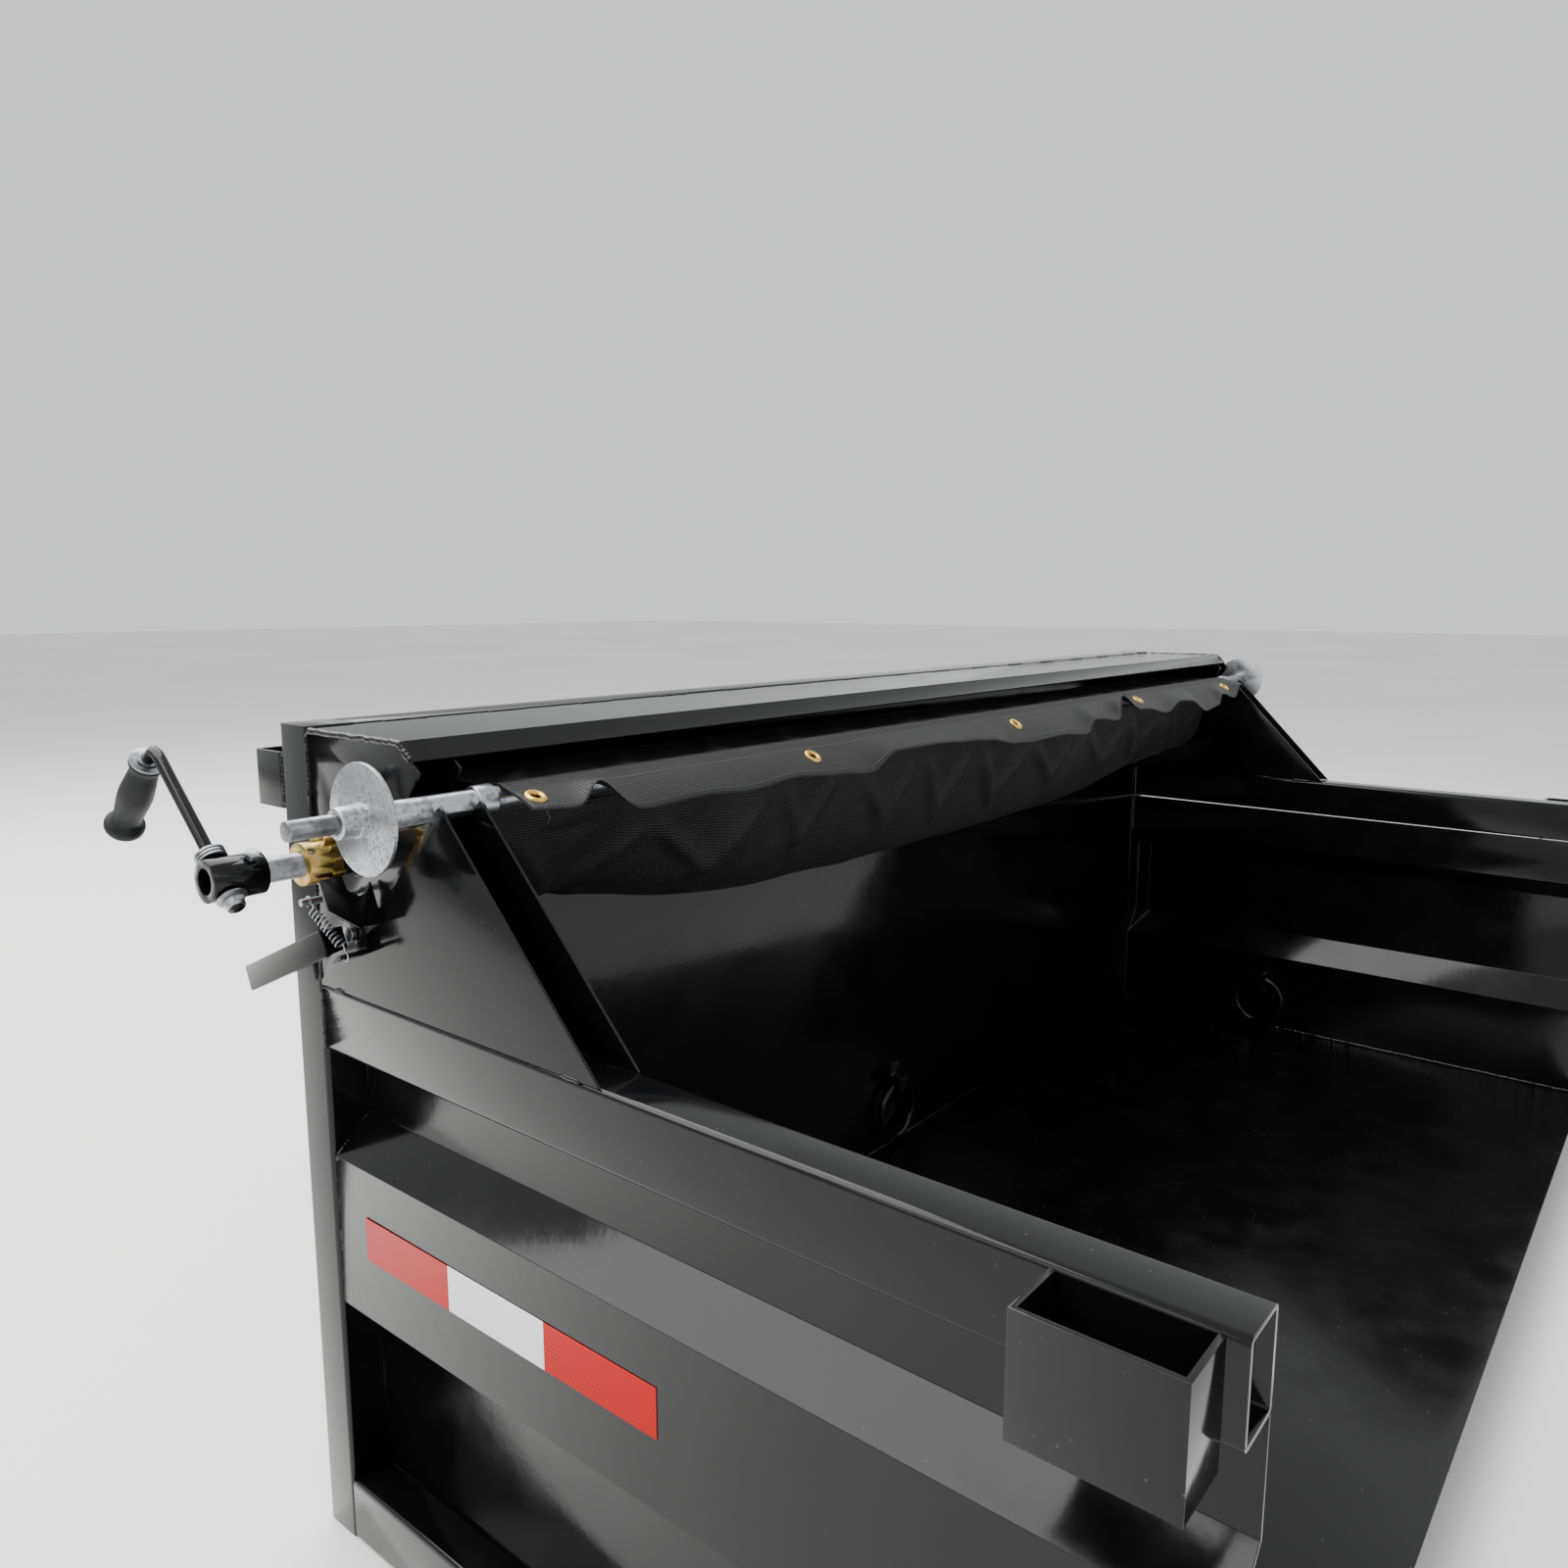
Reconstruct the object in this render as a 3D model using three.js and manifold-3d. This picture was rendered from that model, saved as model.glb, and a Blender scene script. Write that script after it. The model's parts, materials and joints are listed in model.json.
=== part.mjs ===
// Front end of a dump body with a hand-cranked roll tarp.
// Millimetres, +Z up. X runs across the body, -Y runs towards its tail.
// The origin is under the middle of the front sill.

import * as THREE from 'three';
import { mergeVertices } from 'three/addons/utils/BufferGeometryUtils.js';
import Module from 'manifold-3d';

const wasm = await Module();
wasm.setup();

// ---- driving dimensions -------------------------------------------------

const seam = 0.3; // gap left between pieces that are welded or rest on each other

const body = { halfWidth: 1143.6, sectionLength: 1010, sideHeight: 609.6 };
const post = { across: 57.2, deep: 57.2, above: 288, wall: 4.8, radius: 6 };
const rail = { wide: 50.8, tall: 76.2, wall: 4, radius: 6 };
const sheet = 3;
const floorThick = 4.8;

const railTop = rail.tall + floorThick + body.sideHeight;
const bulkheadFace = -post.deep / 2;
const tailEnd = bulkheadFace - body.sectionLength;

const hood = { level: 285.5, depth: 176, lipDepth: 197, lipLevel: 267 };
const wing = { inset: 47.8, foot: 453, flange: 25 };
const bulge = { inner: 47.5, outer: 3, top: -164, shoulder: -203, hip: -383, foot: -436 };
const tape = { start: 57.5, segment: 152.4, segments: 3, tall: 51, low: -310, thick: 0.5 };
const pocket = { start: 882, long: 114, out: 57, wall: 4.8, tall: 90, drop: 3 };
const bracket = { long: 57, wide: 50.8, tall: 63, low: 192, wall: 4 };
const crossMembers = { mid: 470, tail: 950, deep: 50.8 };

const roller = { behind: 88, up: 160, tubeOuter: 24.15, tubeInner: 21, inset: 60 };
const shaft = { radius: 12.7, outer: 132, plug: 50 };
const sleeve = { outer: 21.1, inner: 13.1, leftEnd: 25, rightEnd: 8, inset: 58 };
const sprocket = { face: 64, collarEnd: 41, toothEnd: 28, teeth: 12, tip: 27.2, root: 21.6, collar: 22 };
const toothShare = { valley: 0.29, flank: 0.4 }; // of one tooth's pitch
const hub = { outerEnd: 158.5, innerEnd: 105, radius: 21.1, bore: 13.1 };
const waveStack = { turns: 3, pitch: 3.6, wire: 2.4, outer: 14.5, waist: 10, gap: 0.9 };
const lockNut = { from: 22, step: 25.5, end: 35, flange: 14.5, hex: 10.6 };
const arm = { out: 142, radius: 6.35, below: 37, reach: 172, lean: 43, bend: 15 };
const grip = { start: 24, length: 108, bore: 6.8 };

const bar = { behind: 212, up: 221, radius: 13.35, inner: 10.6, end: 63.5 };
const barRod = { radius: 9.5, end: 142, inset: 30 };
const barDisc = { radius: 54, thick: 4, face: 68, collar: 16, collarEnd: 95 };
const coupling = { radius: 16.8, start: 54, end: 80 };

const tarpRoll = { radius: 70, inset: 78 };
const tarpHem = { inner: 14.2, outer: 18, inset: 86 };
const flap = { line: [[-19, -2], [-42, -10], [-63, -26]], thick: 4 };
const slack = { behind: 108, up: 142, radius: 100, rearTop: 198, steps: 12, thick: 5 };

const lever = { behind: 87, up: 77, tilt: 23.5 };
const handle = { from: 2.5, end: 181, low: -17.5, high: 11, outer: -44, inner: -38, corner: 3 };
const shortLeg = { outer: -42, inner: -18, low: -17, lowInner: -13, high: 10.5, deep: 5.5 };
const springTab = { x: [-39, -4], y: [-16, 5], z: [-25.5, -20.7], hook: [-33, -10], hole: 3 };
const strap = { x: [-9, -4], low: -20.7, eye: 10 };
const spring = { from: [-43.5, 5, 34], to: [-31.5, -13, -13], turns: 9, coil: 4.7, wire: 0.9 };
const pawlPlate = { middle: -47, thick: 5 };
const pivotBolt = { radius: 5, head: 9, end: 16 };
const springPost = { forward: 8.3, above: 43.5, radius: 4, end: 52 };

const dRing = { radius: 53.6, bar: 6.4, offWall: 10.3, belowRail: 490, behindRight: 344 };
const dClip = { wide: 30, openHalf: 10.5, openDeep: 20.8, thick: 5, tab: 38 };

// ---- finishes -----------------------------------------------------------

const finishes = {
  blackPaint: { color: 0x101112, roughness: 0.18, metalness: 0.0 },
  zinc: { color: 0xc4c8cc, roughness: 0.38, metalness: 1.0 },
  yellowZinc: { color: 0xc2a45c, roughness: 0.35, metalness: 1.0 },
  rubber: { color: 0x26272a, roughness: 0.75, metalness: 0.0 },
  mesh: { color: 0x141516, roughness: 0.6, metalness: 0.0 },
  tapeFilm: { color: 0xd8352b, roughness: 0.4, metalness: 0.0 },
};

const part = new THREE.Group();

function addPiece(name, geometry, finish, group = part) {
  const mesh = new THREE.Mesh(geometry, new THREE.MeshStandardMaterial(finishes[finish]));
  mesh.name = name;
  group.add(mesh);
  return mesh;
}

// ---- shape helpers ------------------------------------------------------

const yAt = (behind) => bulkheadFace - behind;
const zAt = (up) => railTop + up;
const degrees = (angle) => (angle * Math.PI) / 180;

function polygon(points) {
  return new THREE.Shape(points.map(([a, b]) => new THREE.Vector2(a, b)));
}

function circlePath(radius, a = 0, b = 0) {
  return new THREE.Path().absarc(a, b, radius, 0, 2 * Math.PI, true);
}

function ring(outer, inner, a = 0, b = 0) {
  const shape = new THREE.Shape().absarc(a, b, outer, 0, 2 * Math.PI, false);
  shape.holes.push(circlePath(inner, a, b));
  return shape;
}

function roundedOutline(target, a0, b0, a1, b1, radius) {
  target.moveTo(a0 + radius, b0);
  target.lineTo(a1 - radius, b0);
  target.absarc(a1 - radius, b0 + radius, radius, -Math.PI / 2, 0, false);
  target.lineTo(a1, b1 - radius);
  target.absarc(a1 - radius, b1 - radius, radius, 0, Math.PI / 2, false);
  target.lineTo(a0 + radius, b1);
  target.absarc(a0 + radius, b1 - radius, radius, Math.PI / 2, Math.PI, false);
  target.lineTo(a0, b0 + radius);
  target.absarc(a0 + radius, b0 + radius, radius, Math.PI, 1.5 * Math.PI, false);
  return target;
}

function tubeSection(a0, b0, a1, b1, wall, radius) {
  const shape = roundedOutline(new THREE.Shape(), a0, b0, a1, b1, radius);
  const inner = Math.max(radius - wall, 0.8);
  shape.holes.push(roundedOutline(new THREE.Path(), a0 + wall, b0 + wall, a1 - wall, b1 - wall, inner));
  return shape;
}

// The closed outline of a bent sheet: its outer line, and the same line moved in by the thickness.
function bentSheet(points, thickness) {
  const line = points.map(([a, b]) => new THREE.Vector2(a, b));
  const normals = line.slice(1).map((point, i) => {
    const along = point.clone().sub(line[i]).normalize();
    return new THREE.Vector2(-along.y, along.x);
  });
  const moved = line.map((point, i) => {
    const before = normals[Math.max(i - 1, 0)];
    const after = normals[Math.min(i, normals.length - 1)];
    const mitre = before.clone().add(after).normalize();
    return point.clone().addScaledVector(mitre, thickness / mitre.dot(before));
  });
  return new THREE.Shape([...line, ...moved.reverse()]);
}

function extrude(shape, depth, curveSegments) {
  return new THREE.ExtrudeGeometry(shape, { depth, bevelEnabled: false, curveSegments });
}

const basis = (x, y, z) => new THREE.Matrix4().makeBasis(x, y, z);
const axisX = new THREE.Vector3(1, 0, 0);
const axisY = new THREE.Vector3(0, 1, 0);
const axisZ = new THREE.Vector3(0, 0, 1);

// A section drawn in (y, z), run along X from x0 to x1.
function alongX(shape, x0, x1, curveSegments = 6) {
  const geometry = extrude(shape, x1 - x0, curveSegments);
  return geometry.applyMatrix4(basis(axisY, axisZ, axisX)).translate(x0, 0, 0);
}

// A section drawn in (x, z), run along Y from y0 to y1.
function alongY(shape, y0, y1, curveSegments = 3) {
  const geometry = extrude(shape, y1 - y0, curveSegments);
  return geometry.applyMatrix4(basis(axisX, axisZ, axisY.clone().negate())).translate(0, y1, 0);
}

function alongZ(shape, z0, z1, curveSegments = 3) {
  return extrude(shape, z1 - z0, curveSegments).translate(0, 0, z0);
}

function boxBetween([x0, x1], [y0, y1], [z0, z1]) {
  const geometry = new THREE.BoxGeometry(Math.abs(x1 - x0), Math.abs(y1 - y0), Math.abs(z1 - z0));
  return geometry.translate((x0 + x1) / 2, (y0 + y1) / 2, (z0 + z1) / 2);
}

// A turned piece: [distance along the axis, radius] pairs, laid along +X from the origin.
function turned(profile, segments = 24) {
  const points = profile.map(([along, radius]) => new THREE.Vector2(radius, along));
  return new THREE.LatheGeometry(points, segments).rotateZ(-Math.PI / 2);
}

function cylinderX(radius, x0, x1, segments = 24) {
  return turned([[x0, 0], [x0, radius], [x1, radius], [x1, 0]], segments);
}

function toManifold(geometry) {
  const plain = geometry.clone();
  plain.deleteAttribute('normal');
  plain.deleteAttribute('uv');
  const welded = mergeVertices(plain, 1e-4);
  const solid = new wasm.Mesh({
    numProp: 3,
    vertProperties: new Float32Array(welded.attributes.position.array),
    triVerts: new Uint32Array(welded.index.array),
  });
  return new wasm.Manifold(solid);
}

function toGeometry(manifold) {
  const solid = manifold.getMesh();
  const geometry = new THREE.BufferGeometry();
  geometry.setAttribute('position', new THREE.BufferAttribute(new Float32Array(solid.vertProperties), 3));
  geometry.setIndex(new THREE.BufferAttribute(new Uint32Array(solid.triVerts), 1));
  geometry.computeVertexNormals();
  return geometry;
}

function cut(geometry, ...tools) {
  const start = toManifold(geometry);
  return toGeometry(tools.reduce((left, tool) => left.subtract(toManifold(tool)), start));
}

function joined(...geometries) {
  const solids = geometries.map(toManifold);
  return toGeometry(solids.slice(1).reduce((sum, solid) => sum.add(solid), solids[0]));
}

// ---- body structure -----------------------------------------------------

const sides = [['left', -1], ['right', 1]];

// X of a point that lies the given distance inside one outer face, and a sorted pair of them.
const xIn = (side, inset) => side * (body.halfWidth - inset);
const xSpan = (side, a, b) => [xIn(side, a), xIn(side, b)].sort((p, q) => p - q);

const betweenPosts = body.halfWidth - post.across - seam;
const betweenRails = body.halfWidth - rail.wide - seam;
const behindBulkhead = bulkheadFace - seam;

function cornerPost(side) {
  const [x0, x1] = xSpan(side, 0, post.across);
  const top = zAt(post.above);
  const front = post.deep / 2;
  const tube = alongZ(tubeSection(x0, -front, x1, front, post.wall, post.radius), 0, top - post.wall);
  const capShape = roundedOutline(new THREE.Shape(), x0, -front, x1, front, post.radius);
  return joined(tube, alongZ(capShape, top - post.wall, top));
}

function crossTube(halfSpan, yMiddle, deep, z0, z1) {
  const section = tubeSection(yMiddle - deep / 2, z0, yMiddle + deep / 2, z1, rail.wall, rail.radius);
  return alongX(section, -halfSpan, halfSpan, 3);
}

function sideRail(side, z0) {
  const [x0, x1] = xSpan(side, 0, rail.wide);
  const section = tubeSection(x0, z0, x1, z0 + rail.tall, rail.wall, rail.radius);
  return alongY(section, tailEnd, behindBulkhead);
}

// The side wall is one sheet, pressed outward into a bulge between its two upright bands.
function sidePanel(side) {
  const line = [
    [bulge.inner, -rail.tall - seam],
    [bulge.inner, bulge.top],
    [bulge.outer, bulge.shoulder],
    [bulge.outer, bulge.hip],
    [bulge.inner, bulge.foot],
    [bulge.inner, -body.sideHeight - floorThick + seam],
  ];
  const placed = line.map(([inset, up]) => [xIn(side, inset), zAt(up)]);
  const ordered = side < 0 ? placed : placed.reverse();
  return alongY(bentSheet(ordered, sheet), tailEnd, behindBulkhead);
}

function tarpHood() {
  const line = [[seam, hood.level], [hood.depth, hood.level], [hood.lipDepth, hood.lipLevel]];
  const placed = line.map(([behind, up]) => [yAt(behind), zAt(up)]);
  return alongX(bentSheet(placed, sheet), 1 - body.halfWidth, body.halfWidth - 1);
}

// Wing plate outline, with the nose under the hood's lip and the notch that the pull bar rests in.
function wingOutline(bottom) {
  const seat = bar.radius + seam;
  const underHood = hood.level - sheet - seam;
  const outline = [
    [seam, bottom],
    [seam, underHood],
    [hood.depth - 1.6, underHood],
    [hood.lipDepth - 2.4, hood.lipLevel - 2.6],
    [205, 255],
    [185, 230],
    [187, 212],
    [193, bar.up - seat],
  ];
  for (const angle of [270, 292, 318]) {
    outline.push([bar.behind + seat * Math.cos(degrees(angle)), bar.up + seat * Math.sin(degrees(angle))]);
  }
  outline.push([229.5, 222.5], [235, 226], [241, 222.5], [245, 216], [wing.foot, bottom]);
  const shape = polygon(outline.map(([behind, up]) => [yAt(behind), zAt(up)]));
  shape.holes.push(circlePath(sleeve.outer + seam, yAt(roller.behind), zAt(roller.up)));
  return shape;
}

function wingOuter(side) {
  const [x0, x1] = xSpan(side, 0, sheet);
  const [f0, f1] = xSpan(side, 0, wing.flange);
  const plate = alongX(wingOutline(seam), x0, x1, 12);
  const flange = boxBetween([f0, f1], [yAt(415), yAt(30)], [zAt(seam), zAt(seam + sheet)]);
  return joined(plate, flange);
}

function wingInner(side) {
  const [x0, x1] = xSpan(side, wing.inset, wing.inset + sheet);
  return alongX(wingOutline(seam), x0, x1, 12);
}

function stakePocket(side) {
  const [x0, x1] = xSpan(side, -seam, -pocket.out);
  const [c0, c1] = xSpan(side, seam, pocket.wall - pocket.out);
  const y0 = yAt(pocket.start + pocket.long);
  const y1 = yAt(pocket.start);
  const top = zAt(-pocket.drop);
  const block = boxBetween([x0, x1], [y0, y1], [top - pocket.tall, top]);
  const hollow = boxBetween(
    [c0, c1],
    [y0 + pocket.wall, y1 - pocket.wall],
    [top - pocket.tall - 1, top + 1],
  );
  return cut(block, hollow);
}

function frontBracket() {
  const [x0, x1] = xSpan(-1, 0, bracket.wide);
  const y0 = post.deep / 2 + seam;
  const section = tubeSection(x0, y0, x1, y0 + bracket.long, bracket.wall, 5);
  return alongZ(section, zAt(bracket.low), zAt(bracket.low + bracket.tall));
}

function tapeStrip(side) {
  const span = xSpan(side, bulge.outer - seam - tape.thick, bulge.outer - seam);
  const end = tape.start + tape.segment * tape.segments;
  return boxBetween(span, [yAt(end), yAt(tape.start)], [zAt(tape.low), zAt(tape.low + tape.tall)]);
}

function bearingSleeve(side) {
  const outerEnd = side < 0 ? sleeve.leftEnd : sleeve.rightEnd;
  const [x0, x1] = xSpan(side, -outerEnd, sleeve.inset);
  return alongX(ring(sleeve.outer, sleeve.inner, yAt(roller.behind), zAt(roller.up)), x0, x1, 12);
}

for (const [name, side] of sides) {
  addPiece(`corner_post_${name}`, cornerPost(side), 'blackPaint');
  addPiece(`top_rail_${name}`, sideRail(side, zAt(-rail.tall)), 'blackPaint');
  addPiece(`lower_rail_${name}`, sideRail(side, 0), 'blackPaint');
  addPiece(`side_panel_${name}`, sidePanel(side), 'blackPaint');
  addPiece(`wing_outer_${name}`, wingOuter(side), 'blackPaint');
  addPiece(`wing_inner_${name}`, wingInner(side), 'blackPaint');
  addPiece(`stake_pocket_${name}`, stakePocket(side), 'blackPaint');
  addPiece(`reflective_tape_${name}`, tapeStrip(side), 'tapeFilm');
  addPiece(`bearing_sleeve_${name}`, bearingSleeve(side), 'blackPaint');
}

const postTop = zAt(post.above);
const bulkheadSpan = [-betweenPosts, betweenPosts];
const bulkhead = boxBetween(
  bulkheadSpan,
  [bulkheadFace, bulkheadFace + sheet],
  [rail.tall + seam, postTop - rail.wide - seam],
);
const floorSpan = [-betweenRails, betweenRails];
const floorPlate = boxBetween(
  floorSpan,
  [tailEnd, behindBulkhead],
  [rail.tall + seam, rail.tall + floorThick],
);

addPiece('front_sill', crossTube(betweenPosts, 0, post.deep, 0, rail.tall), 'blackPaint');
addPiece('front_top_tube', crossTube(betweenPosts, 0, post.deep, postTop - rail.wide, postTop), 'blackPaint');
addPiece('bulkhead_panel', bulkhead, 'blackPaint');
addPiece('floor_plate', floorPlate, 'blackPaint');
for (const place of ['mid', 'tail']) {
  const tube = crossTube(betweenRails, yAt(crossMembers[place]), crossMembers.deep, 0, rail.tall);
  addPiece(`cross_member_${place}`, tube, 'blackPaint');
}
addPiece('tarp_hood', tarpHood(), 'blackPaint');
addPiece('front_bracket', frontBracket(), 'blackPaint');

// ---- tie-down rings -----------------------------------------------------

// Built on a wall that faces -Y, with the ring's straight hanging line as its hinge.
function tieDown(name, x, y, turn) {
  const place = new THREE.Group();
  place.position.set(x, y, zAt(-dRing.belowRail));
  place.rotation.z = turn;
  part.add(place);
  const line = [
    [-seam, dClip.tab],
    [-seam, dClip.openHalf],
    [-dClip.openDeep, dClip.openHalf - 2],
    [-dClip.openDeep, 2 - dClip.openHalf],
    [-seam, -dClip.openHalf],
    [-seam, -dClip.tab],
  ];
  const clip = alongX(bentSheet(line.reverse(), dClip.thick), -dClip.wide / 2, dClip.wide / 2);
  addPiece(`tie_clip_${name}`, clip, 'blackPaint', place);
  const loop = new THREE.TorusGeometry(dRing.radius, dRing.bar, 8, 30).rotateX(Math.PI / 2);
  const ringMesh = addPiece(`tie_ring_${name}`, loop, 'blackPaint', place);
  ringMesh.position.set(0, -dRing.offWall, -dRing.radius);
}

const wallInside = body.halfWidth - bulge.inner - sheet;
tieDown('front', 0, bulkheadFace, 0);
tieDown('left', -wallInside, yAt(dRing.behindRight), Math.PI / 2);
tieDown('right', wallInside, yAt(dRing.behindRight), -Math.PI / 2);

// ---- roller, crank shaft and ratchet ------------------------------------

const rollerGroup = new THREE.Group();
rollerGroup.position.set(0, yAt(roller.behind), zAt(roller.up));
part.add(rollerGroup);

const leftX = (inset) => inset - body.halfWidth;

const rollerEnd = body.halfWidth - roller.inset;
addPiece(
  'roller_tube',
  alongX(ring(roller.tubeOuter, roller.tubeInner), -rollerEnd, rollerEnd, 12),
  'zinc',
  rollerGroup,
);

function stubShaft(outerEnd) {
  const plug = roller.tubeInner - seam;
  const shoulder = roller.inset + 1;
  const profile = [
    [-outerEnd, 0],
    [-outerEnd, shaft.radius],
    [shoulder, shaft.radius],
    [shoulder, plug],
    [shoulder + shaft.plug, plug],
    [shoulder + shaft.plug, 0],
  ];
  return turned(profile);
}

const crankShaft = addPiece('crank_shaft', stubShaft(shaft.outer), 'zinc', rollerGroup);
crankShaft.position.x = leftX(0);
const idlerShaft = addPiece('idler_shaft', stubShaft(sleeve.rightEnd + 10), 'zinc', rollerGroup);
idlerShaft.position.x = body.halfWidth;
idlerShaft.rotation.y = Math.PI;

// Direction from the roller axis to the pawl's tip, as an angle in the (y, z) plane.
const tiltAngle = degrees(lever.tilt);
const toWorld = (u, v) => [
  u * Math.cos(tiltAngle) + v * Math.sin(tiltAngle),
  v * Math.cos(tiltAngle) - u * Math.sin(tiltAngle),
];
const [pawlTipY, pawlTipZ] = toWorld(pawlPlate.middle, 54);
const pawlAngle = Math.atan2(
  lever.up + pawlTipZ - roller.up,
  roller.behind - lever.behind + pawlTipY,
);

function sprocketTeeth() {
  const pitch = (2 * Math.PI) / sprocket.teeth;
  const shape = new THREE.Shape();
  for (let tooth = 0; tooth < sprocket.teeth; tooth += 1) {
    const valley = pawlAngle + tooth * pitch;
    const corners = [
      [-toothShare.valley, sprocket.root],
      [toothShare.valley, sprocket.root],
      [toothShare.flank, sprocket.tip],
      [1 - toothShare.flank, sprocket.tip],
    ];
    corners.forEach(([share, radius], i) => {
      const angle = valley + share * pitch;
      const point = [radius * Math.cos(angle), radius * Math.sin(angle)];
      if (tooth === 0 && i === 0) shape.moveTo(...point);
      else shape.lineTo(...point);
    });
  }
  shape.holes.push(circlePath(shaft.radius + seam));
  return shape;
}

const screwOut = 58.6;
const screwTurn = degrees(138);
const radialTool = (radius, from, to, x, angle) =>
  cylinderX(radius, from, to, 16)
    .rotateY(-Math.PI / 2)
    .rotateX(angle - Math.PI / 2)
    .translate(x, 0, 0);

function ratchetSprocket() {
  const collar = alongX(ring(sprocket.collar, shaft.radius + seam), -sprocket.face, -sprocket.collarEnd, 12);
  const teeth = alongX(sprocketTeeth(), -sprocket.collarEnd - 0.5, -sprocket.toothEnd, 12);
  const hole = radialTool(3.4, 8, 30, -screwOut, screwTurn);
  return cut(joined(collar, teeth), hole);
}

const sprocketMesh = addPiece('ratchet_sprocket', ratchetSprocket(), 'yellowZinc', rollerGroup);
sprocketMesh.position.x = leftX(0);
const setScrew = addPiece(
  'sprocket_set_screw',
  radialTool(3, shaft.radius + seam, sprocket.collar - 2, -screwOut, screwTurn),
  'zinc',
  rollerGroup,
);
setScrew.position.x = leftX(0);

// ---- crank --------------------------------------------------------------

const armAngle = degrees(arm.lean);
const hubBolt = { out: 118, turn: degrees(122), radius: 4, hexAcross: 7.2, head: 6 };

function crankHub() {
  const tube = alongX(ring(hub.radius, hub.bore), -hub.outerEnd, -hub.innerEnd, 12);
  const armHole = radialTool(arm.radius + seam, -30, 30, -arm.out, armAngle);
  const boltHole = radialTool(hubBolt.radius + seam, 8, 30, -hubBolt.out, hubBolt.turn);
  return cut(tube, armHole, boltHole);
}

function hexPrism(acrossCorner, from, to, x, angle) {
  return cylinderX(acrossCorner, from, to, 6)
    .rotateY(-Math.PI / 2)
    .rotateX(angle - Math.PI / 2)
    .translate(x, 0, 0);
}

const hubMesh = addPiece('crank_hub', crankHub(), 'blackPaint', rollerGroup);
hubMesh.position.x = leftX(0);
const boltShank = radialTool(hubBolt.radius, shaft.radius + seam, hub.radius + 1, -hubBolt.out, hubBolt.turn);
const boltHead = hexPrism(
  hubBolt.hexAcross,
  hub.radius + 0.6,
  hub.radius + 0.6 + hubBolt.head,
  -hubBolt.out,
  hubBolt.turn,
);
const hubBoltMesh = addPiece('crank_hub_bolt', joined(boltShank, boltHead), 'zinc', rollerGroup);
hubBoltMesh.position.x = leftX(0);

// The arm's own frame: +X along the rod away from the hub, -Z along the grip's axle.
const armGroup = new THREE.Group();
armGroup.position.x = leftX(-arm.out);
armGroup.rotation.set(armAngle, 0, Math.PI / 2, 'XZY');
rollerGroup.add(armGroup);

function crankRod() {
  const path = new THREE.CurvePath();
  const corner = arm.reach - arm.bend;
  path.add(new THREE.LineCurve3(new THREE.Vector3(-arm.below, 0, 0), new THREE.Vector3(corner, 0, 0)));
  path.add(new THREE.QuadraticBezierCurve3(
    new THREE.Vector3(corner, 0, 0),
    new THREE.Vector3(arm.reach, 0, 0),
    new THREE.Vector3(arm.reach, 0, -arm.bend),
  ));
  const tip = grip.start + grip.length - 12;
  path.add(new THREE.LineCurve3(
    new THREE.Vector3(arm.reach, 0, -arm.bend),
    new THREE.Vector3(arm.reach, 0, -tip),
  ));
  const section = new THREE.Shape().absarc(0, 0, arm.radius, 0, 2 * Math.PI, false);
  return new THREE.ExtrudeGeometry(section, { steps: 36, extrudePath: path, curveSegments: 6 });
}

addPiece('crank_arm', crankRod(), 'blackPaint', armGroup);

// A stacked wave washer: three turns of flat wire that meet near the bore.
function waveWasher() {
  const bore = arm.radius + seam;
  const first = hub.radius + waveStack.gap;
  const last = waveStack.turns - 1;
  const profile = [[first, bore]];
  for (let turn = 0; turn <= last; turn += 1) {
    const from = first + turn * waveStack.pitch;
    const to = from + waveStack.wire;
    profile.push([from, waveStack.outer], [to, waveStack.outer]);
    if (turn < last) profile.push([to, waveStack.waist], [from + waveStack.pitch, waveStack.waist]);
  }
  profile.push([first + last * waveStack.pitch + waveStack.wire, bore], [first, bore]);
  return turned(profile);
}

addPiece('arm_spring_washer', waveWasher(), 'zinc', armGroup);

const nutBore = cylinderX(arm.radius + seam, -60, 0, 16);
const nutFlange = cylinderX(lockNut.flange, -lockNut.step, -lockNut.from, 20);
const nutHex = cylinderX(lockNut.hex, -lockNut.end, -lockNut.step, 6);
addPiece('arm_lock_nut', cut(joined(nutFlange, nutHex), nutBore), 'zinc', armGroup);

// Pieces on the grip's axle are turned along its own axis, which points away from the rod.
const axleGroup = new THREE.Group();
axleGroup.position.x = arm.reach;
axleGroup.rotation.y = Math.PI / 2;
armGroup.add(axleGroup);

const clipFrom = grip.start - 5.6;
addPiece('grip_clip', alongX(ring(10.5, arm.radius + seam), clipFrom, clipFrom + 1.8, 8), 'zinc', axleGroup);
const washerFrom = grip.start - 3;
addPiece('grip_washer', alongX(ring(17.5, grip.bore), washerFrom, washerFrom + 2.4, 10), 'zinc', axleGroup);

function handGrip() {
  const a = grip.start;
  const end = a + grip.length;
  const profile = [
    [a, grip.bore],
    [a, 17],
    [a + 4, 17.5],
    [a + 8, 14.2],
    [a + 22, 14.6],
    [a + 46, 17],
    [a + 68, 16.6],
    [a + 84, 14.2],
    [a + 91, 15.2],
    [a + 95, 19.6],
    [end - 7, 20],
    [end - 2, 16],
    [end, 9],
    [end, 0],
    [end - 10, 0],
    [end - 10, grip.bore],
    [a, grip.bore],
  ];
  return turned(profile, 20);
}

addPiece('hand_grip', handGrip(), 'rubber', axleGroup);

// ---- pawl lever ---------------------------------------------------------

const leverGroup = new THREE.Group();
leverGroup.position.set(leftX(0), yAt(lever.behind), zAt(lever.up));
leverGroup.rotation.x = -tiltAngle;
part.add(leverGroup);

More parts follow.
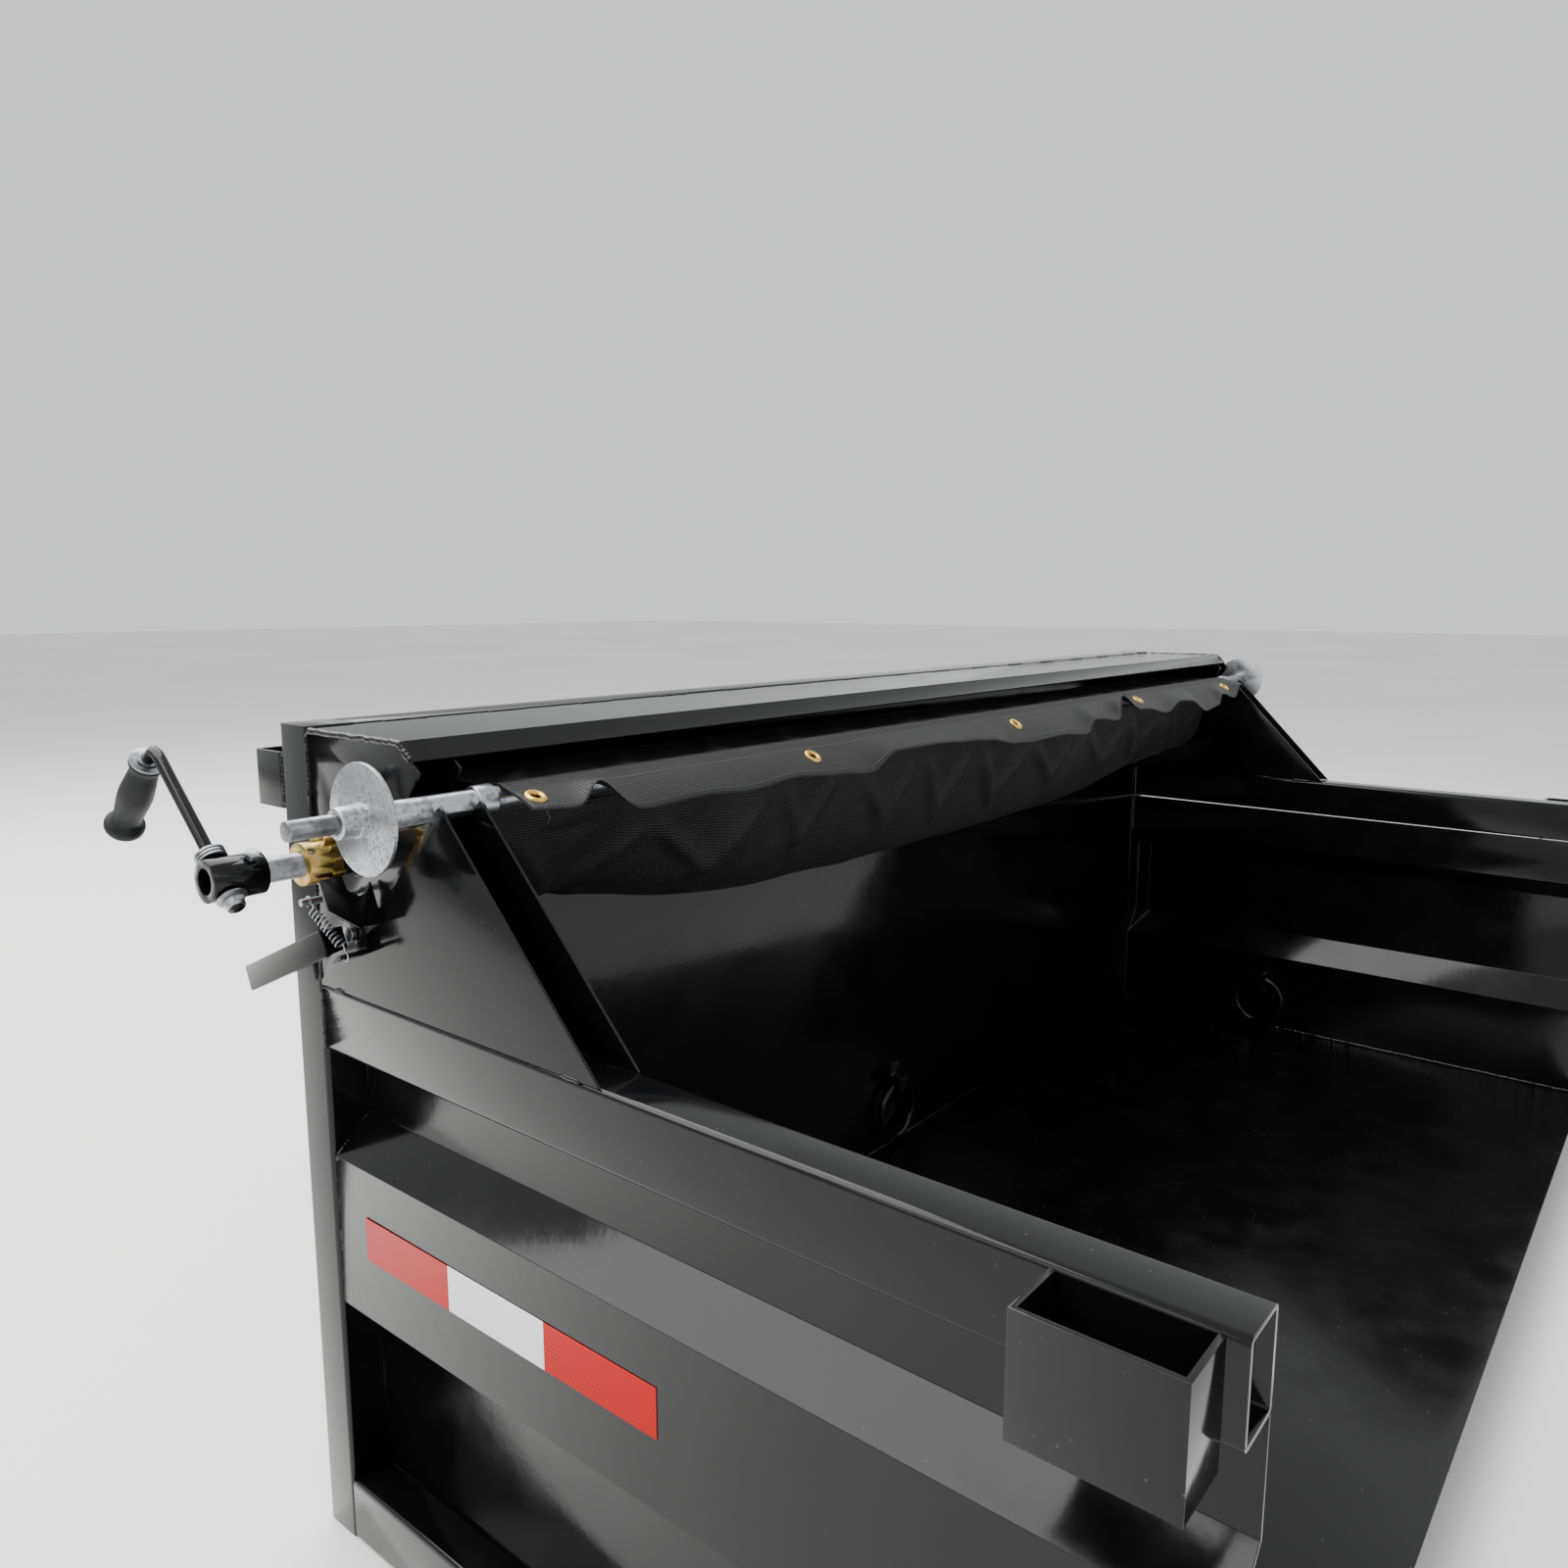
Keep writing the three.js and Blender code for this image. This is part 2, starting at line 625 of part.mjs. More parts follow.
// In the lever's frame +Y runs forward along the handle and +Z across its width.
function pawlBlade() {
  const outline = [
    [-56.5, 53.5],
    [-32.5, 54.5],
    [-30.7, 38.6],
    [-19, 30],
    [-11.5, 32.7],
    [-3, 43],
    [-3, -2.4],
    [-29.6, -1.1],
    [-55.5, 21.3],
  ];
  const half = pawlPlate.thick / 2;
  return alongY(polygon(outline.reverse()), pawlPlate.middle - half, pawlPlate.middle + half);
}

addPiece('pawl_plate', pawlBlade(), 'blackPaint', leverGroup);

const plateFront = pawlPlate.middle + pawlPlate.thick / 2 + seam;

function pivotStrap() {
  const shape = new THREE.Shape();
  shape.moveTo(plateFront, -2);
  shape.lineTo(-17, -8);
  shape.lineTo(-15, strap.low);
  shape.lineTo(3, strap.low);
  shape.lineTo(9, -5);
  shape.absarc(0, 0, strap.eye, -0.5, 1.9, false);
  shape.lineTo(plateFront, 16);
  shape.holes.push(circlePath(pivotBolt.radius + seam));
  const tab = boxBetween(springTab.x, springTab.y, springTab.z);
  const [hookX, hookY] = springTab.hook;
  const [low, high] = springTab.z;
  const hookHole = cylinderX(springTab.hole, low - 1, high + 1, 16)
    .rotateY(-Math.PI / 2)
    .translate(hookX, hookY, 0);
  return cut(joined(alongX(shape, ...strap.x, 8), tab), hookHole);
}

addPiece('pivot_strap', pivotStrap(), 'blackPaint', leverGroup);

// A flat bar bent square: a long leg to hold and a short leg that runs in to the tab.
function leverHandle() {
  const { from, end, low, high, corner } = handle;
  const outline = roundedOutline(new THREE.Shape(), from, low, end, high, corner);
  const longLeg = alongX(outline, handle.outer, handle.inner);
  const legShape = polygon([
    [shortLeg.outer, shortLeg.low],
    [shortLeg.inner, shortLeg.lowInner],
    [shortLeg.inner, shortLeg.high],
    [shortLeg.outer, shortLeg.high],
  ]);
  return joined(longLeg, alongY(legShape, from + 0.5, from + 0.5 + shortLeg.deep));
}

addPiece('lever_handle', leverHandle(), 'blackPaint', leverGroup);

const boltProfile = [
  [-pivotBolt.end, 0],
  [-pivotBolt.end, pivotBolt.head],
  [-9.6, pivotBolt.head],
  [-9.6, pivotBolt.radius],
  [-seam, pivotBolt.radius],
  [-seam, 0],
];
addPiece('pivot_bolt', turned(boltProfile, 12), 'zinc', leverGroup);

const postGroup = new THREE.Group();
postGroup.position.set(0, springPost.forward, springPost.above);
leverGroup.add(postGroup);
addPiece('spring_post', cylinderX(springPost.radius, -springPost.end, -seam, 12), 'zinc', postGroup);

function pawlSpring() {
  const { turns, coil } = spring;
  const from = new THREE.Vector3(...spring.from);
  const to = new THREE.Vector3(...spring.to);
  const along = to.clone().sub(from);
  const side = new THREE.Vector3().crossVectors(along, axisX).normalize();
  const other = new THREE.Vector3().crossVectors(along, side).normalize();
  class Helix extends THREE.Curve {
    getPoint(t) {
      const angle = 2 * Math.PI * turns * t;
      return from.clone()
        .addScaledVector(along, t)
        .addScaledVector(side, coil * Math.cos(angle))
        .addScaledVector(other, coil * Math.sin(angle));
    }
  }
  const wire = new THREE.Shape().absarc(0, 0, spring.wire, 0, 2 * Math.PI, false);
  return new THREE.ExtrudeGeometry(wire, { steps: turns * 10, extrudePath: new Helix(), curveSegments: 3 });
}

addPiece('pawl_spring', pawlSpring(), 'zinc', leverGroup);

// ---- pull bar -----------------------------------------------------------

const barGroup = new THREE.Group();
barGroup.position.set(0, yAt(bar.behind), zAt(bar.up));
part.add(barGroup);

function pullBarPipe() {
  const end = body.halfWidth + bar.end;
  const c0 = body.halfWidth - coupling.start;
  const c1 = body.halfWidth - coupling.end;
  const outer = [
    [-end, bar.radius],
    [-c0, bar.radius],
    [-c0, coupling.radius - 1.5],
    [1.5 - c0, coupling.radius],
    [-c1 - 3, coupling.radius],
    [-c1, bar.radius],
  ];
  const mirrored = outer.map(([along, radius]) => [-along, radius]).reverse();
  const inside = [[end, bar.inner], [-end, bar.inner], [-end, bar.radius]];
  return turned([...outer, ...mirrored, ...inside]);
}

function endFlange() {
  const bore = barRod.radius + seam;
  const step = barDisc.face + 8;
  const profile = [
    [barDisc.face - barDisc.thick, bore],
    [barDisc.face - barDisc.thick, barDisc.radius],
    [barDisc.face, barDisc.radius],
    [barDisc.face, barDisc.collar + 0.6],
    [step, barDisc.collar + 0.6],
    [step, barDisc.collar - 0.6],
    [barDisc.collarEnd - 1.5, barDisc.collar - 0.6],
    [barDisc.collarEnd, barDisc.collar - 2],
    [barDisc.collarEnd, bore],
    [barDisc.face - barDisc.thick, bore],
  ];
  return turned(profile, 32);
}

addPiece('pull_bar_pipe', pullBarPipe(), 'zinc', barGroup);
for (const [name, side] of sides) {
  const flange = addPiece(`end_disc_${name}`, endFlange(), 'zinc', barGroup);
  const rodShape = cylinderX(barRod.radius, -barRod.inset, barRod.end);
  const rod = addPiece(`end_rod_${name}`, rodShape, 'zinc', barGroup);
  for (const piece of [flange, rod]) {
    piece.position.x = side * body.halfWidth;
    piece.rotation.y = side < 0 ? Math.PI : 0;
  }
}

// ---- tarp ---------------------------------------------------------------

const rollEnd = body.halfWidth - tarpRoll.inset;
addPiece(
  'tarp_roll',
  alongX(ring(tarpRoll.radius, roller.tubeOuter + seam), -rollEnd, rollEnd, 12),
  'mesh',
  rollerGroup,
);

const hemEnd = body.halfWidth - tarpHem.inset;
addPiece('tarp_hem', alongX(ring(tarpHem.outer, tarpHem.inner), -hemEnd, hemEnd, 6), 'mesh', barGroup);
addPiece(
  'tarp_flap',
  alongX(bentSheet([...flap.line].reverse(), flap.thick), -hemEnd, hemEnd),
  'mesh',
  barGroup,
);

// The loose outer turn of the tarp, hanging under the roll from the bar to the bulkhead side.
function looseTurn() {
  const line = [[slack.behind + slack.radius, slack.rearTop]];
  for (let step = 0; step <= slack.steps; step += 1) {
    const angle = (-Math.PI * step) / slack.steps;
    line.push([slack.behind + slack.radius * Math.cos(angle), slack.up + slack.radius * Math.sin(angle)]);
  }
  const placed = line.map(([behind, up]) => [yAt(behind), zAt(up)]);
  return alongX(bentSheet(placed, slack.thick), -hemEnd, hemEnd);
}

addPiece('tarp_slack', looseTurn(), 'mesh');

export default part;
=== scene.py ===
import json
import math
import random
import bmesh
import bpy
import numpy as np
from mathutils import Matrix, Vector, noise


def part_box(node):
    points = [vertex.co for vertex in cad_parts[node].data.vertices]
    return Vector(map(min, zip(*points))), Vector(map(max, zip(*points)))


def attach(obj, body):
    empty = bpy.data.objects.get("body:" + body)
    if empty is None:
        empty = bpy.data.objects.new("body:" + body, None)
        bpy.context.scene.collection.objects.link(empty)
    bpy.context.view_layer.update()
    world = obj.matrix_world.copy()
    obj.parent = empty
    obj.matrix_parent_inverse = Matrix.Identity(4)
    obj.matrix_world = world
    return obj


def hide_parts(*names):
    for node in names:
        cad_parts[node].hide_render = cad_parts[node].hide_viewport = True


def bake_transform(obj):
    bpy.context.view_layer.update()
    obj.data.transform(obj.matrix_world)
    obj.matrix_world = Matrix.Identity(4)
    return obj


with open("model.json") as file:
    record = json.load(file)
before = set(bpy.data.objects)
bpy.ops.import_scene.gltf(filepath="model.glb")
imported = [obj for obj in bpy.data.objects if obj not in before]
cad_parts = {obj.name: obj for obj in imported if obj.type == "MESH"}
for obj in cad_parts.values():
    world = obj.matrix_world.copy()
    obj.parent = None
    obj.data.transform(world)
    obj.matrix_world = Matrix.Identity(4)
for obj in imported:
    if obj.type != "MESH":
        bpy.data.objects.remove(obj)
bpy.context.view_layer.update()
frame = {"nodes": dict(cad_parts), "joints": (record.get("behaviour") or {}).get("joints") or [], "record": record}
nodes = frame["nodes"]
mm = 0.001
scene = bpy.context.scene
print("frame loaded:", len(nodes), "pieces")


# where things are, all from the frame

def middle(node):
    low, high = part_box(node)
    return (low + high) / 2


rollAxis = middle("roller_tube")
barAxis = middle("pull_bar_pipe")
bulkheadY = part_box("bulkhead_panel")[0].y
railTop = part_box("top_rail_left")[1].z
halfWidth = -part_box("corner_post_left")[0].x


def spot(x, behind, up):  # behind the bulkhead and above the rail, in millimetres
    return Vector((x, bulkheadY - behind * mm, railTop + up * mm))


# camera, floor and light

lens = {"place": (-1.8015, -1.2240, 1.1151), "forward": (0.7667, 0.6229, -0.1556), "length": 27.2}
cameraData = bpy.data.cameras.new("camera")
cameraData.lens = lens["length"]
cameraData.sensor_width = 36
cameraObject = bpy.data.objects.new("camera", cameraData)
scene.collection.objects.link(cameraObject)
cameraObject.location = lens["place"]
cameraObject.rotation_mode = "QUATERNION"
cameraObject.rotation_quaternion = Vector(lens["forward"]).to_track_quat("-Z", "Y")
scene.camera = cameraObject


def fromHex(text):  # sRGB hex to the linear colour that the shader takes
    parts = [int(text[i:i + 2], 16) / 255 for i in (1, 3, 5)]
    linear = [p / 12.92 if p < 0.04045 else ((p + 0.055) / 1.055) ** 2.4 for p in parts]
    return (*linear, 1)


def addNode(material, kind, links=None, **settings):
    tree = material.node_tree
    node = tree.nodes.new(kind)
    for name, value in settings.items():
        if name.startswith("in_"):
            key = name[3:].replace("_", " ")
            key = int(key) if key.isdigit() else key
            node.inputs[key].default_value = value
        else:
            setattr(node, name, value)
    for key, source in (links or {}).items():
        tree.links.new(source, node.inputs[key])
    return node


def newMaterial(name, **settings):
    material = bpy.data.materials.new(name)
    material.use_nodes = True
    shader = material.node_tree.nodes["Principled BSDF"]
    for key, value in settings.items():
        shader.inputs[key.replace("_", " ")].default_value = value
    return material, shader


def noiseNode(material, place, millimetres, detail, **settings):
    return addNode(material, "ShaderNodeTexNoise", {"Vector": place}, in_Scale=perMetre(millimetres),
                   in_Detail=detail, **settings)


def perMetre(millimetres):  # texture scale that gives one cell about this size
    return 1000 / millimetres


def ramp(material, source, stops, smooth=True):
    node = addNode(material, "ShaderNodeValToRGB", {"Fac": source})
    node.color_ramp.interpolation = "EASE" if smooth else "LINEAR"
    while len(node.color_ramp.elements) < len(stops):
        node.color_ramp.elements.new(0.5)
    for element, (place, colour) in zip(node.color_ramp.elements, stops):
        element.position = place
        element.color = colour if isinstance(colour, tuple) else fromHex(colour)
    return node.outputs["Color"]


def grey(value):
    return (value, value, value, 1)


def link(material, source, shader, key):
    material.node_tree.links.new(source, shader.inputs[key])


studio = {"world": "#f4f5f6", "worldStrength": 1.05, "floor": "#efefed"}
world = bpy.data.worlds.new("studio")
scene.world = world
world.use_nodes = True
background = world.node_tree.nodes["Background"]
background.inputs["Color"].default_value = fromHex(studio["world"])
background.inputs["Strength"].default_value = studio["worldStrength"]

softboxes = [  # name, place, aimed at, size, watts
    ("overhead", (-1.6, 2.4, 5.0), (-0.8, 0.8, 0.7), (8.0, 6.0), 900),
    ("side", (-4.6, -0.9, 3.0), (-0.6, -0.3, 0.7), (2.6, 2.0), 35),
    ("rear", (-1.6, -5.4, 3.4), (0, -0.3, 0.7), (3.6, 2.0), 25),
]
for name, place, target, size, watts in softboxes:
    light = bpy.data.lights.new("light_" + name, "AREA")
    light.shape = "RECTANGLE"
    light.size, light.size_y = size
    light.energy = watts
    lightObject = bpy.data.objects.new("light_" + name, light)
    scene.collection.objects.link(lightObject)
    lightObject.location = place
    lightObject.rotation_mode = "QUATERNION"
    lightObject.rotation_quaternion = (Vector(target) - Vector(place)).to_track_quat("-Z", "Y")


def meshObject(name, vertices, faces, smooth=True):
    mesh = bpy.data.meshes.new(name)
    mesh.from_pydata([tuple(v) for v in vertices], [], faces)
    mesh.validate()
    mesh.polygons.foreach_set("use_smooth", [smooth] * len(mesh.polygons))
    made = bpy.data.objects.new(name, mesh)
    scene.collection.objects.link(made)
    return made


floorSize = 40
floor = meshObject(
    "studio_floor",
    [(sx * floorSize, sy * floorSize, -0.002) for sx, sy in ((-1, -1), (1, -1), (1, 1), (-1, 1))],
    [(0, 1, 2, 3)],
    smooth=False,
)
floorMaterial, floorShader = newMaterial("paper backdrop", Base_Color=fromHex(studio["floor"]), Roughness=0.9)
paperGrain = addNode(floorMaterial, "ShaderNodeTexNoise", in_Scale=30, in_Detail=3)
paperShade = ramp(floorMaterial, paperGrain.outputs["Fac"], [(0.3, "#e6e6e4"), (0.7, "#ebebe9")])
link(floorMaterial, paperShade, floorShader, "Base Color")
floor.data.materials.append(floorMaterial)
print("camera, floor and light are set")


# finishes

def objectPlace(material):
    return addNode(material, "ShaderNodeTexCoord").outputs["Object"]


def stretched(material, scale):  # object coordinates, scaled apart along the axes
    mapping = addNode(material, "ShaderNodeMapping", {"Vector": objectPlace(material)}, in_Scale=scale)
    return mapping.outputs[0]


def bumped(material, shader, source, strength, depth):
    bump = addNode(material, "ShaderNodeBump", {"Height": source}, in_Strength=strength, in_Distance=depth)
    before = shader.inputs["Normal"].links
    if before:
        material.node_tree.links.new(before[0].from_socket, bump.inputs["Normal"])
    link(material, bump.outputs["Normal"], shader, "Normal")


# Black powder coat, sprayed and baked over welded steel: a deep gloss with slow orange peel,
# pinhead grit caught in the film and faint grey dust.
powder = {"peel": 9, "grit": 11, "wipe": 90, "roughness": (0.10, 0.18), "colour": "#070708"}


def powderCoat(name, dust, gloss=1.0):
    material, shader = newMaterial(name, IOR=1.5, Specular_IOR_Level=0.27, Coat_Weight=0.05,
                                   Coat_Roughness=0.05)
    place = objectPlace(material)
    peel = noiseNode(material, place, powder["peel"], 2, in_Roughness=0.5)
    wipe = noiseNode(material, place, powder["wipe"], 5, in_Roughness=0.6)
    low, high = powder["roughness"]
    link(material, ramp(material, wipe.outputs["Fac"],
                        [(0.3, grey(low / gloss)), (0.75, grey(high / gloss))]), shader, "Roughness")
    grit = addNode(material, "ShaderNodeTexVoronoi", {"Vector": place}, in_Scale=perMetre(powder["grit"]))
    speck = ramp(material, grit.outputs["Distance"], [(0.0, grey(1)), (0.055, grey(1)), (0.09, grey(0))])
    gritTone = addNode(material, "ShaderNodeSeparateColor", {"Color": grit.outputs["Color"]}).outputs[0]
    rare = ramp(material, gritTone, [(0.80, grey(0)), (0.86, grey(dust))], smooth=False)
    shown = addNode(material, "ShaderNodeMath", {0: speck, 1: rare}, operation="MULTIPLY").outputs[0]
    cloudy = ramp(material, wipe.outputs["Fac"], [(0.35, powder["colour"]), (0.8, "#0c0c0d")])
    painted = addNode(material, "ShaderNodeMix", {"Factor": shown, 6: cloudy}, data_type="RGBA",
                      in_7=fromHex("#6c6c6a"))
    link(material, painted.outputs[2], shader, "Base Color")
    bumped(material, shader, peel.outputs["Fac"], 0.10, 0.0006)
    bumped(material, shader, shown, 0.25, 0.0004)
    return material


blackPaint = powderCoat("black powder coat", 0.35)
bedPaint = powderCoat("black powder coat, dusty inside", 0.8, gloss=0.6)

# Bright zinc on turned steel: pale blue-grey metal with fine turning lines.
zincLook = {"line": 0.9, "cloud": 28}


def zincPlate(name, light, dark, roughness, axisScale):
    material, shader = newMaterial(name, Metallic=1.0)
    lines = noiseNode(material, stretched(material, axisScale), zincLook["line"], 2)
    cloud = noiseNode(material, objectPlace(material), zincLook["cloud"], 6, in_Roughness=0.65)
    link(material, ramp(material, cloud.outputs["Fac"], [(0.32, dark), (0.62, light)]), shader, "Base Color")
    link(material, ramp(material, cloud.outputs["Fac"],
                        [(0.3, grey(roughness + 0.14)), (0.7, grey(roughness))]), shader, "Roughness")
    bumped(material, shader, lines.outputs["Fac"], 0.12, 0.0003)
    return material


zincPlated = zincPlate("bright zinc plate", "#a8abb0", "#76797d", 0.26, (1, 1, 1))
shaftZinc = zincPlate("zinc plated shaft", "#9c9fa3", "#5e6063", 0.24, (0.06, 1, 1))


# Hot-dip galvanised pipe: a whiter, duller metal with crystal spangle.
def galvanised(name, spangle):
    material, shader = newMaterial(name, Metallic=1.0)
    place = objectPlace(material)
    cells = addNode(material, "ShaderNodeTexVoronoi", {"Vector": place}, in_Scale=perMetre(spangle))
    tone = addNode(material, "ShaderNodeSeparateColor", {"Color": cells.outputs["Color"]}).outputs[0]
    drift = noiseNode(material, place, 45, 5)
    total = addNode(material, "ShaderNodeMath", {0: tone, 1: drift.outputs["Fac"]}, operation="ADD")
    mixed = total.outputs[0]
    link(material, ramp(material, mixed, [(0.45, "#84878a"), (1.0, "#b2b5b8")]), shader, "Base Color")
    link(material, ramp(material, mixed, [(0.4, grey(0.46)), (1.1, grey(0.32))]), shader, "Roughness")
    bumped(material, shader, drift.outputs["Fac"], 0.08, 0.0005)
    return material


pipeZinc = galvanised("galvanised pipe", 5)
discZinc = galvanised("galvanised plate", 2.2)

# Yellow zinc chromate: an iridescent film that turns from gold to pink and green.
yellowZinc, yellowShader = newMaterial("yellow zinc chromate", Metallic=1.0, Roughness=0.3)
filmPlace = objectPlace(yellowZinc)
film = noiseNode(yellowZinc, filmPlace, 13, 3)
tints = [(0.30, "#b98f86"), (0.42, "#c7a45e"), (0.55, "#a68f4c"), (0.68, "#7f8a52"), (0.8, "#c08f6a")]
link(yellowZinc, ramp(yellowZinc, film.outputs["Fac"], tints), yellowShader, "Base Color")
filmGrain = noiseNode(yellowZinc, filmPlace, 1.5, 2)
bumped(yellowZinc, yellowShader, filmGrain.outputs["Fac"], 0.1, 0.0002)

# Pressed brass eyelets: warm and bright, a little dulled.
brass, brassShader = newMaterial("pressed brass", Metallic=1.0)
tarnish = noiseNode(brass, objectPlace(brass), 6, 4)
brassTint = ramp(brass, tarnish.outputs["Fac"], [(0.3, "#c08f3c"), (0.6, "#e8c065")])
link(brass, brassTint, brassShader, "Base Color")
brassWear = ramp(brass, tarnish.outputs["Fac"], [(0.3, grey(0.34)), (0.7, grey(0.2))])
link(brass, brassWear, brassShader, "Roughness")

# Moulded rubber grip: charcoal, matte, with a fine mould grain and a worn sheen.
rubber, rubberShader = newMaterial("moulded rubber", IOR=1.5, Specular_IOR_Level=0.25)
rubberPlace = objectPlace(rubber)
rubberGrain = noiseNode(rubber, rubberPlace, 1.1, 3)
rubberWear = noiseNode(rubber, rubberPlace, 35, 4)
rubberTint = ramp(rubber, rubberWear.outputs["Fac"], [(0.3, "#0f1011"), (0.7, "#17181a")])
link(rubber, rubberTint, rubberShader, "Base Color")
rubberMatte = ramp(rubber, rubberWear.outputs["Fac"], [(0.3, grey(0.62)), (0.7, grey(0.46))])
link(rubber, rubberMatte, rubberShader, "Roughness")
bumped(rubber, rubberShader, rubberGrain.outputs["Fac"], 0.25, 0.0003)

# Vinyl-coated polyester mesh: round black yarns in a leno grid with open holes between them; the holes are not cut
# but painted near black, a painted shade that stands for the dark seen through them.
# The real yarns stand about 2 mm apart; they are drawn 4.2 mm apart so that they show.
meshCloth = {"yarn": 4.2, "yarnColour": "#0f0f10", "paintedHoleShade": "#020202", "wander": 55}


def wovenVinyl(name, yarnColour, paintedHoleShade, strength):
    material, shader = newMaterial(name, IOR=1.5, Specular_IOR_Level=0.3, Sheen_Weight=0.04,
                                   Sheen_Roughness=0.4)
    cut = addNode(material, "ShaderNodeUVMap", uv_map="cut").outputs["UV"]
    period = meshCloth["yarn"] * mm
    waves = []
    for direction in ("X", "Y"):
        waves.append(addNode(material, "ShaderNodeTexWave", {"Vector": cut}, bands_direction=direction,
                             in_Scale=2 * math.pi / (20 * period), in_Distortion=0.4, in_Detail=1,
                             in_Detail_Scale=0.4).outputs["Fac"])
    height = addNode(material, "ShaderNodeMath", {0: waves[0], 1: waves[1]}, operation="MAXIMUM").outputs[0]
    knots = addNode(material, "ShaderNodeMath", {0: waves[0], 1: waves[1]}, operation="MULTIPLY").outputs[0]
    body = addNode(material, "ShaderNodeMath", {0: height, 1: knots}, operation="ADD").outputs[0]
    wander = noiseNode(material, cut, meshCloth["wander"], 3)
    # painted shade: between the yarns the colour falls to the near-black painted hole shade
    shade = ramp(material, body, [(0.45, paintedHoleShade), (0.95, yarnColour)])
    worn = ramp(material, wander.outputs["Fac"], [(0.3, grey(0.75)), (0.7, grey(1.15))])
    mixed = addNode(material, "ShaderNodeMix", {6: shade, 7: worn}, data_type="RGBA", blend_type="MULTIPLY",
                    in_Factor=1.0)
    link(material, mixed.outputs[2], shader, "Base Color")
    link(material, ramp(material, body, [(0.4, grey(0.75)), (1.1, grey(0.42))]), shader, "Roughness")
    bumped(material, shader, body, strength, 0.0009)
    return material


# the second colour of each cloth is the painted shade in its holes
tarpMesh = wovenVinyl("vinyl coated mesh", meshCloth["yarnColour"], meshCloth["paintedHoleShade"], 0.5)
hemMesh = wovenVinyl("doubled vinyl mesh", "#121213", "#050505", 0.35)

# Bonded polyester thread: black, waxy, lies proud of the hem.
threadBlack, threadShader = newMaterial("bonded thread", Roughness=0.5, Sheen_Weight=0.2)
twistPitch = 1.2 * mm
twist = addNode(threadBlack, "ShaderNodeTexWave", {"Vector": objectPlace(threadBlack)},
                bands_direction="DIAGONAL", in_Scale=2 * math.pi / (20 * twistPitch))
link(threadBlack, ramp(threadBlack, twist.outputs["Fac"], [(0.2, "#1a1a1b"), (0.8, "#3c3c3e")]),
     threadShader, "Base Color")

# Prismatic reflective film: red and white blocks over a grid of tiny corner cubes under clear vinyl.
# Cubes are under 1 mm wide; the seal grid that shows is about 5 mm.
tapeBlock = 152.4
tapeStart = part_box("reflective_tape_left")[1].y
tapeFilm, tapeShader = newMaterial("prismatic reflective film", Specular_IOR_Level=0.15)
tapePlace = objectPlace(tapeFilm)
tapeSplit = addNode(tapeFilm, "ShaderNodeSeparateXYZ", {"Vector": tapePlace})
tapeAlong = addNode(tapeFilm, "ShaderNodeMath", {0: tapeSplit.outputs["Y"]}, operation="SUBTRACT",
                    in_1=tapeStart)
tapeCount = addNode(tapeFilm, "ShaderNodeMath", {0: tapeAlong.outputs[0]}, operation="DIVIDE",
                    in_1=2 * tapeBlock * mm)
tapeShare = addNode(tapeFilm, "ShaderNodeMath", {0: tapeCount.outputs[0]}, operation="FRACT")
tapeWhich = addNode(tapeFilm, "ShaderNodeMath", {0: tapeShare.outputs[0]}, operation="GREATER_THAN", in_1=0.5)
tapeFlat = addNode(tapeFilm, "ShaderNodeCombineXYZ",
                   {"X": tapeSplit.outputs["Y"], "Y": tapeSplit.outputs["Z"]}).outputs[0]
tapeCells = addNode(tapeFilm, "ShaderNodeTexBrick", {"Vector": tapeFlat}, offset=0.5, in_Scale=1.0,
                    in_Mortar_Size=0.4 * mm, in_Brick_Width=5.2 * mm, in_Row_Height=4.6 * mm)
tapeSeal = ramp(tapeFilm, tapeCells.outputs["Fac"], [(0.0, grey(0)), (1.0, grey(1))])
redFilm = addNode(tapeFilm, "ShaderNodeMix", {"Factor": tapeSeal}, data_type="RGBA", in_6=fromHex("#b40400"),
                  in_7=fromHex("#940300"))
whiteFilm = addNode(tapeFilm, "ShaderNodeMix", {"Factor": tapeSeal}, data_type="RGBA",
                    in_6=fromHex("#e3e4e4"), in_7=fromHex("#cfd1d2"))
tapeColour = addNode(tapeFilm, "ShaderNodeMix", {"Factor": tapeWhich.outputs[0], 6: whiteFilm.outputs[2],
                                                 7: redFilm.outputs[2]}, data_type="RGBA")
link(tapeFilm, tapeColour.outputs[2], tapeShader, "Base Color")
tapeShader.inputs["Roughness"].default_value = 0.32
bumped(tapeFilm, tapeShader, tapeSeal, 0.3, 0.0003)
print("finishes are made")


# the steel pieces keep their CAD shape, with worked edges and their finish

finishOf = {
    "black_paint": blackPaint, "zinc_plate": zincPlated, "yellow_zinc": yellowZinc, "brass_grommet": brass,
    "grip_rubber": rubber, "mesh_tarp": tarpMesh, "tarp_thread": threadBlack, "reflective_tape": tapeFilm,
}
special = {
    "pull_bar_pipe": pipeZinc, "end_disc_left": discZinc, "end_disc_right": discZinc,
    "crank_shaft": shaftZinc, "idler_shaft": shaftZinc, "end_rod_left": shaftZinc, "end_rod_right": shaftZinc,
    "floor_plate": bedPaint, "roller_tube": pipeZinc,
}
edges = {"angle": 28, "width": 0.55 * mm, "fine": 0.25 * mm}
fineNodes = {"ratchet_sprocket", "crank_hub_bolt", "sprocket_set_screw", "arm_spring_washer", "grip_clip",
             "grip_washer", "reflective_tape_left", "reflective_tape_right"}
